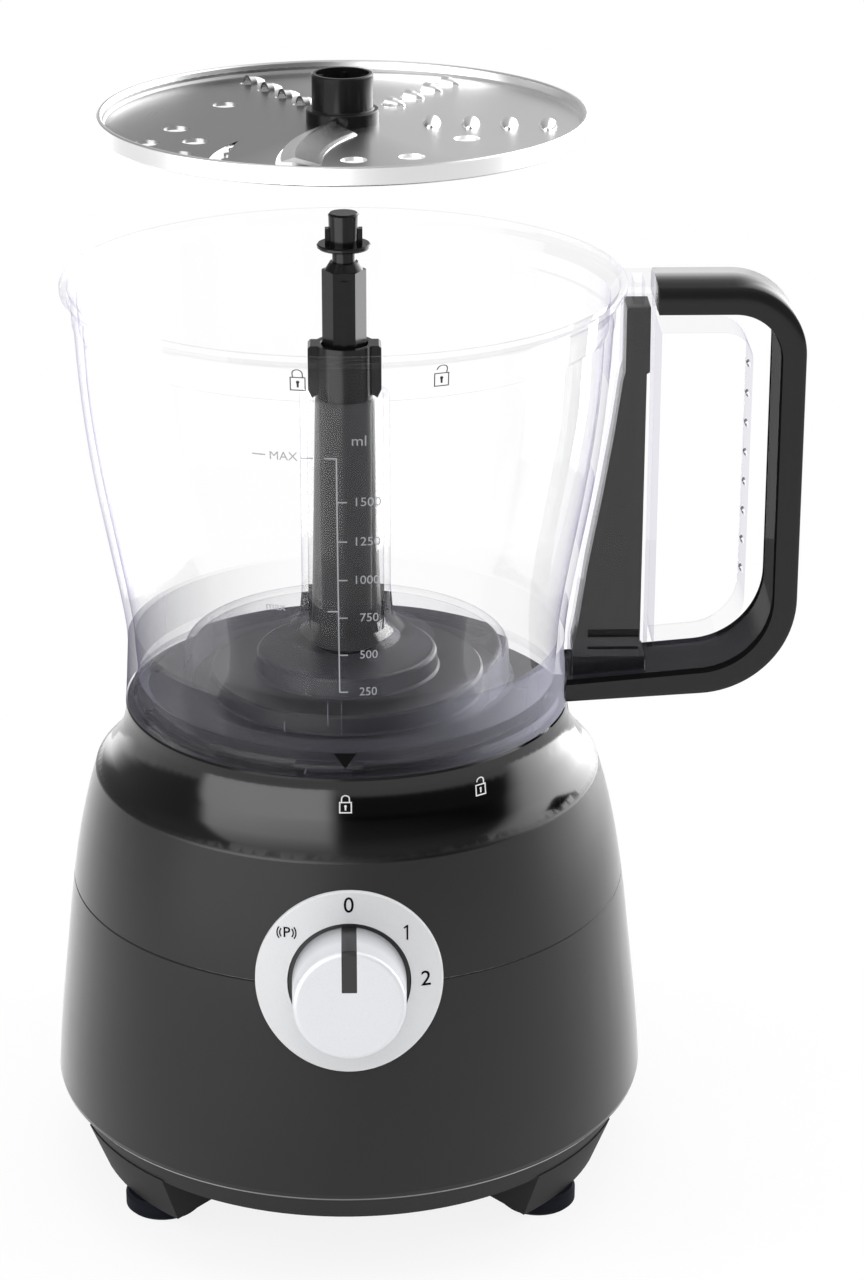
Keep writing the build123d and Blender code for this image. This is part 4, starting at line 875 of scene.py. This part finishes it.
# %% World
world = bpy.data.worlds.new("light_tent")
bpy.context.scene.world = world
world.use_nodes = True
tent = Finish("light_tent", world.node_tree)
paths = tent.rays()
way = tent.add("ShaderNodeTexCoord", out=0)
parts = tent.add("ShaderNodeSeparateXYZ", Vector=way).socket.node.outputs
right, ahead, lift = [Value(tent.tree, part) for part in parts]
# Bearing in degrees from +X towards the back, and brightness as a share of the brightest panel
PANELS = [
    (-180, 0.04), (-168, 0.04), (-163, 0.6), (-140, 0.67), (-101, 0.67), (-94, 0.0), (-8, 0.0),
    (4, 0.5), (10, 0.6), (22, 0.74), (32, 0.87), (50, 1.0), (60, 1.0), (70, 0.3), (80, 0.09),
    (100, 0.085), (118, 0.08), (130, 0.05), (180, 0.04),
]
BRIGHTEST = 6.0
ROOF = 0.5
BACK_GROUND = 1.6
GROUND = 0.95
HORIZON = 0.08
MATT = 0.42
bearing = ahead.bearing(right) * (0.5 / math.pi) + 0.5
stops = [((a + 180) / 360, v) for a, v in PANELS]
walls = tent.add("ShaderNodeValToRGB", {"stops": stops}, Fac=bearing)
# Soft steps over the height and the depth of the direction
roof = ((lift - 0.42) * 1.6).share()
ground = (0.3 - lift * 6.0).share()
back = (ahead * 2.5 - 1.2).share()
below = (lift * -10.0 - 0.4).share()
horizon = (2.5 - lift * 5.0).share()
mirror = walls * BRIGHTEST * (1.0 - roof) + roof * ROOF + ground * back * BACK_GROUND
mirror = mirror.most(below * GROUND).most(horizon * HORIZON)
plain = paths["Is Camera Ray"].most(paths["Is Transmission Ray"])
glossy = paths["Is Glossy Ray"]
strength = plain + (1.0 - plain) * (glossy * mirror + (1.0 - glossy) * MATT)
sky = tent.add("ShaderNodeBackground", Color=(1, 1, 1, 1), Strength=strength)
out = tent.tree.nodes.new("ShaderNodeOutputWorld")
tent.tree.links.new(sky.socket, out.inputs["Surface"])
print("made the light tent")

# %% [markdown]
# ## Lamps
# Four soft boxes light the matt surfaces: one on each side, one above and a weak one at the front.
# Mirrors don't see them, because the tent already holds the panels that gloss reflects.

# %% Lamps
def soft_box(name, place, aim, width, height, watts):
    data = bpy.data.lights.new(name, "AREA")
    data.shape = "RECTANGLE"
    data.size = width
    data.size_y = height
    data.energy = watts
    lamp = bpy.data.objects.new(name, data)
    bpy.context.collection.objects.link(lamp)
    turn = (Vector(aim) - Vector(place)).to_track_quat("-Z", "Y").to_matrix().to_4x4()
    lamp.matrix_world = Matrix.Translation(place) @ turn
    lamp.visible_glossy = False


soft_box("box_left", (-1.25, -0.25, 0.75), (0, 0, 0.16), 0.7, 1.3, 9.0)
soft_box("box_right", (1.25, -0.15, 0.75), (0, 0, 0.16), 0.7, 1.3, 9.0)
soft_box("box_above", (0.0, 0.1, 1.7), (0, 0, 0.2), 1.3, 1.3, 14.0)
soft_box("box_front", (0.1, -1.9, 1.25), (0, 0, 0.12), 1.0, 0.7, 7.0)

# %% [markdown]
# ## Camera
# The place, angle and focal length come from matching circles of known radius in the photograph:
# the disc's rim, the bowl's rim and the seams of the base.

# %% Camera
lens = bpy.data.cameras.new("packshot")
lens.sensor_fit = "VERTICAL"
lens.sensor_height = 36.0
lens.lens = 93.37
lens.clip_start = 0.05
lens.clip_end = 30.0
camera = bpy.data.objects.new("packshot", lens)
bpy.context.collection.objects.link(camera)
CAMERA_AT = (0.0, -1.0336, 0.5968)
CAMERA_DOWN = 21.554
CAMERA_TURN = -1.5824
CAMERA_ROLL = 0.143
aim = Euler((math.radians(90.0 - CAMERA_DOWN), 0.0, math.radians(CAMERA_TURN))).to_matrix().to_4x4()
roll = Matrix.Rotation(math.radians(CAMERA_ROLL), 4, "Z")
camera.matrix_world = Matrix.Translation(CAMERA_AT) @ aim @ roll
bpy.context.scene.camera = camera
bpy.context.scene.view_settings.view_transform = "Standard"
print("camera at", [round(c, 3) for c in camera.location])
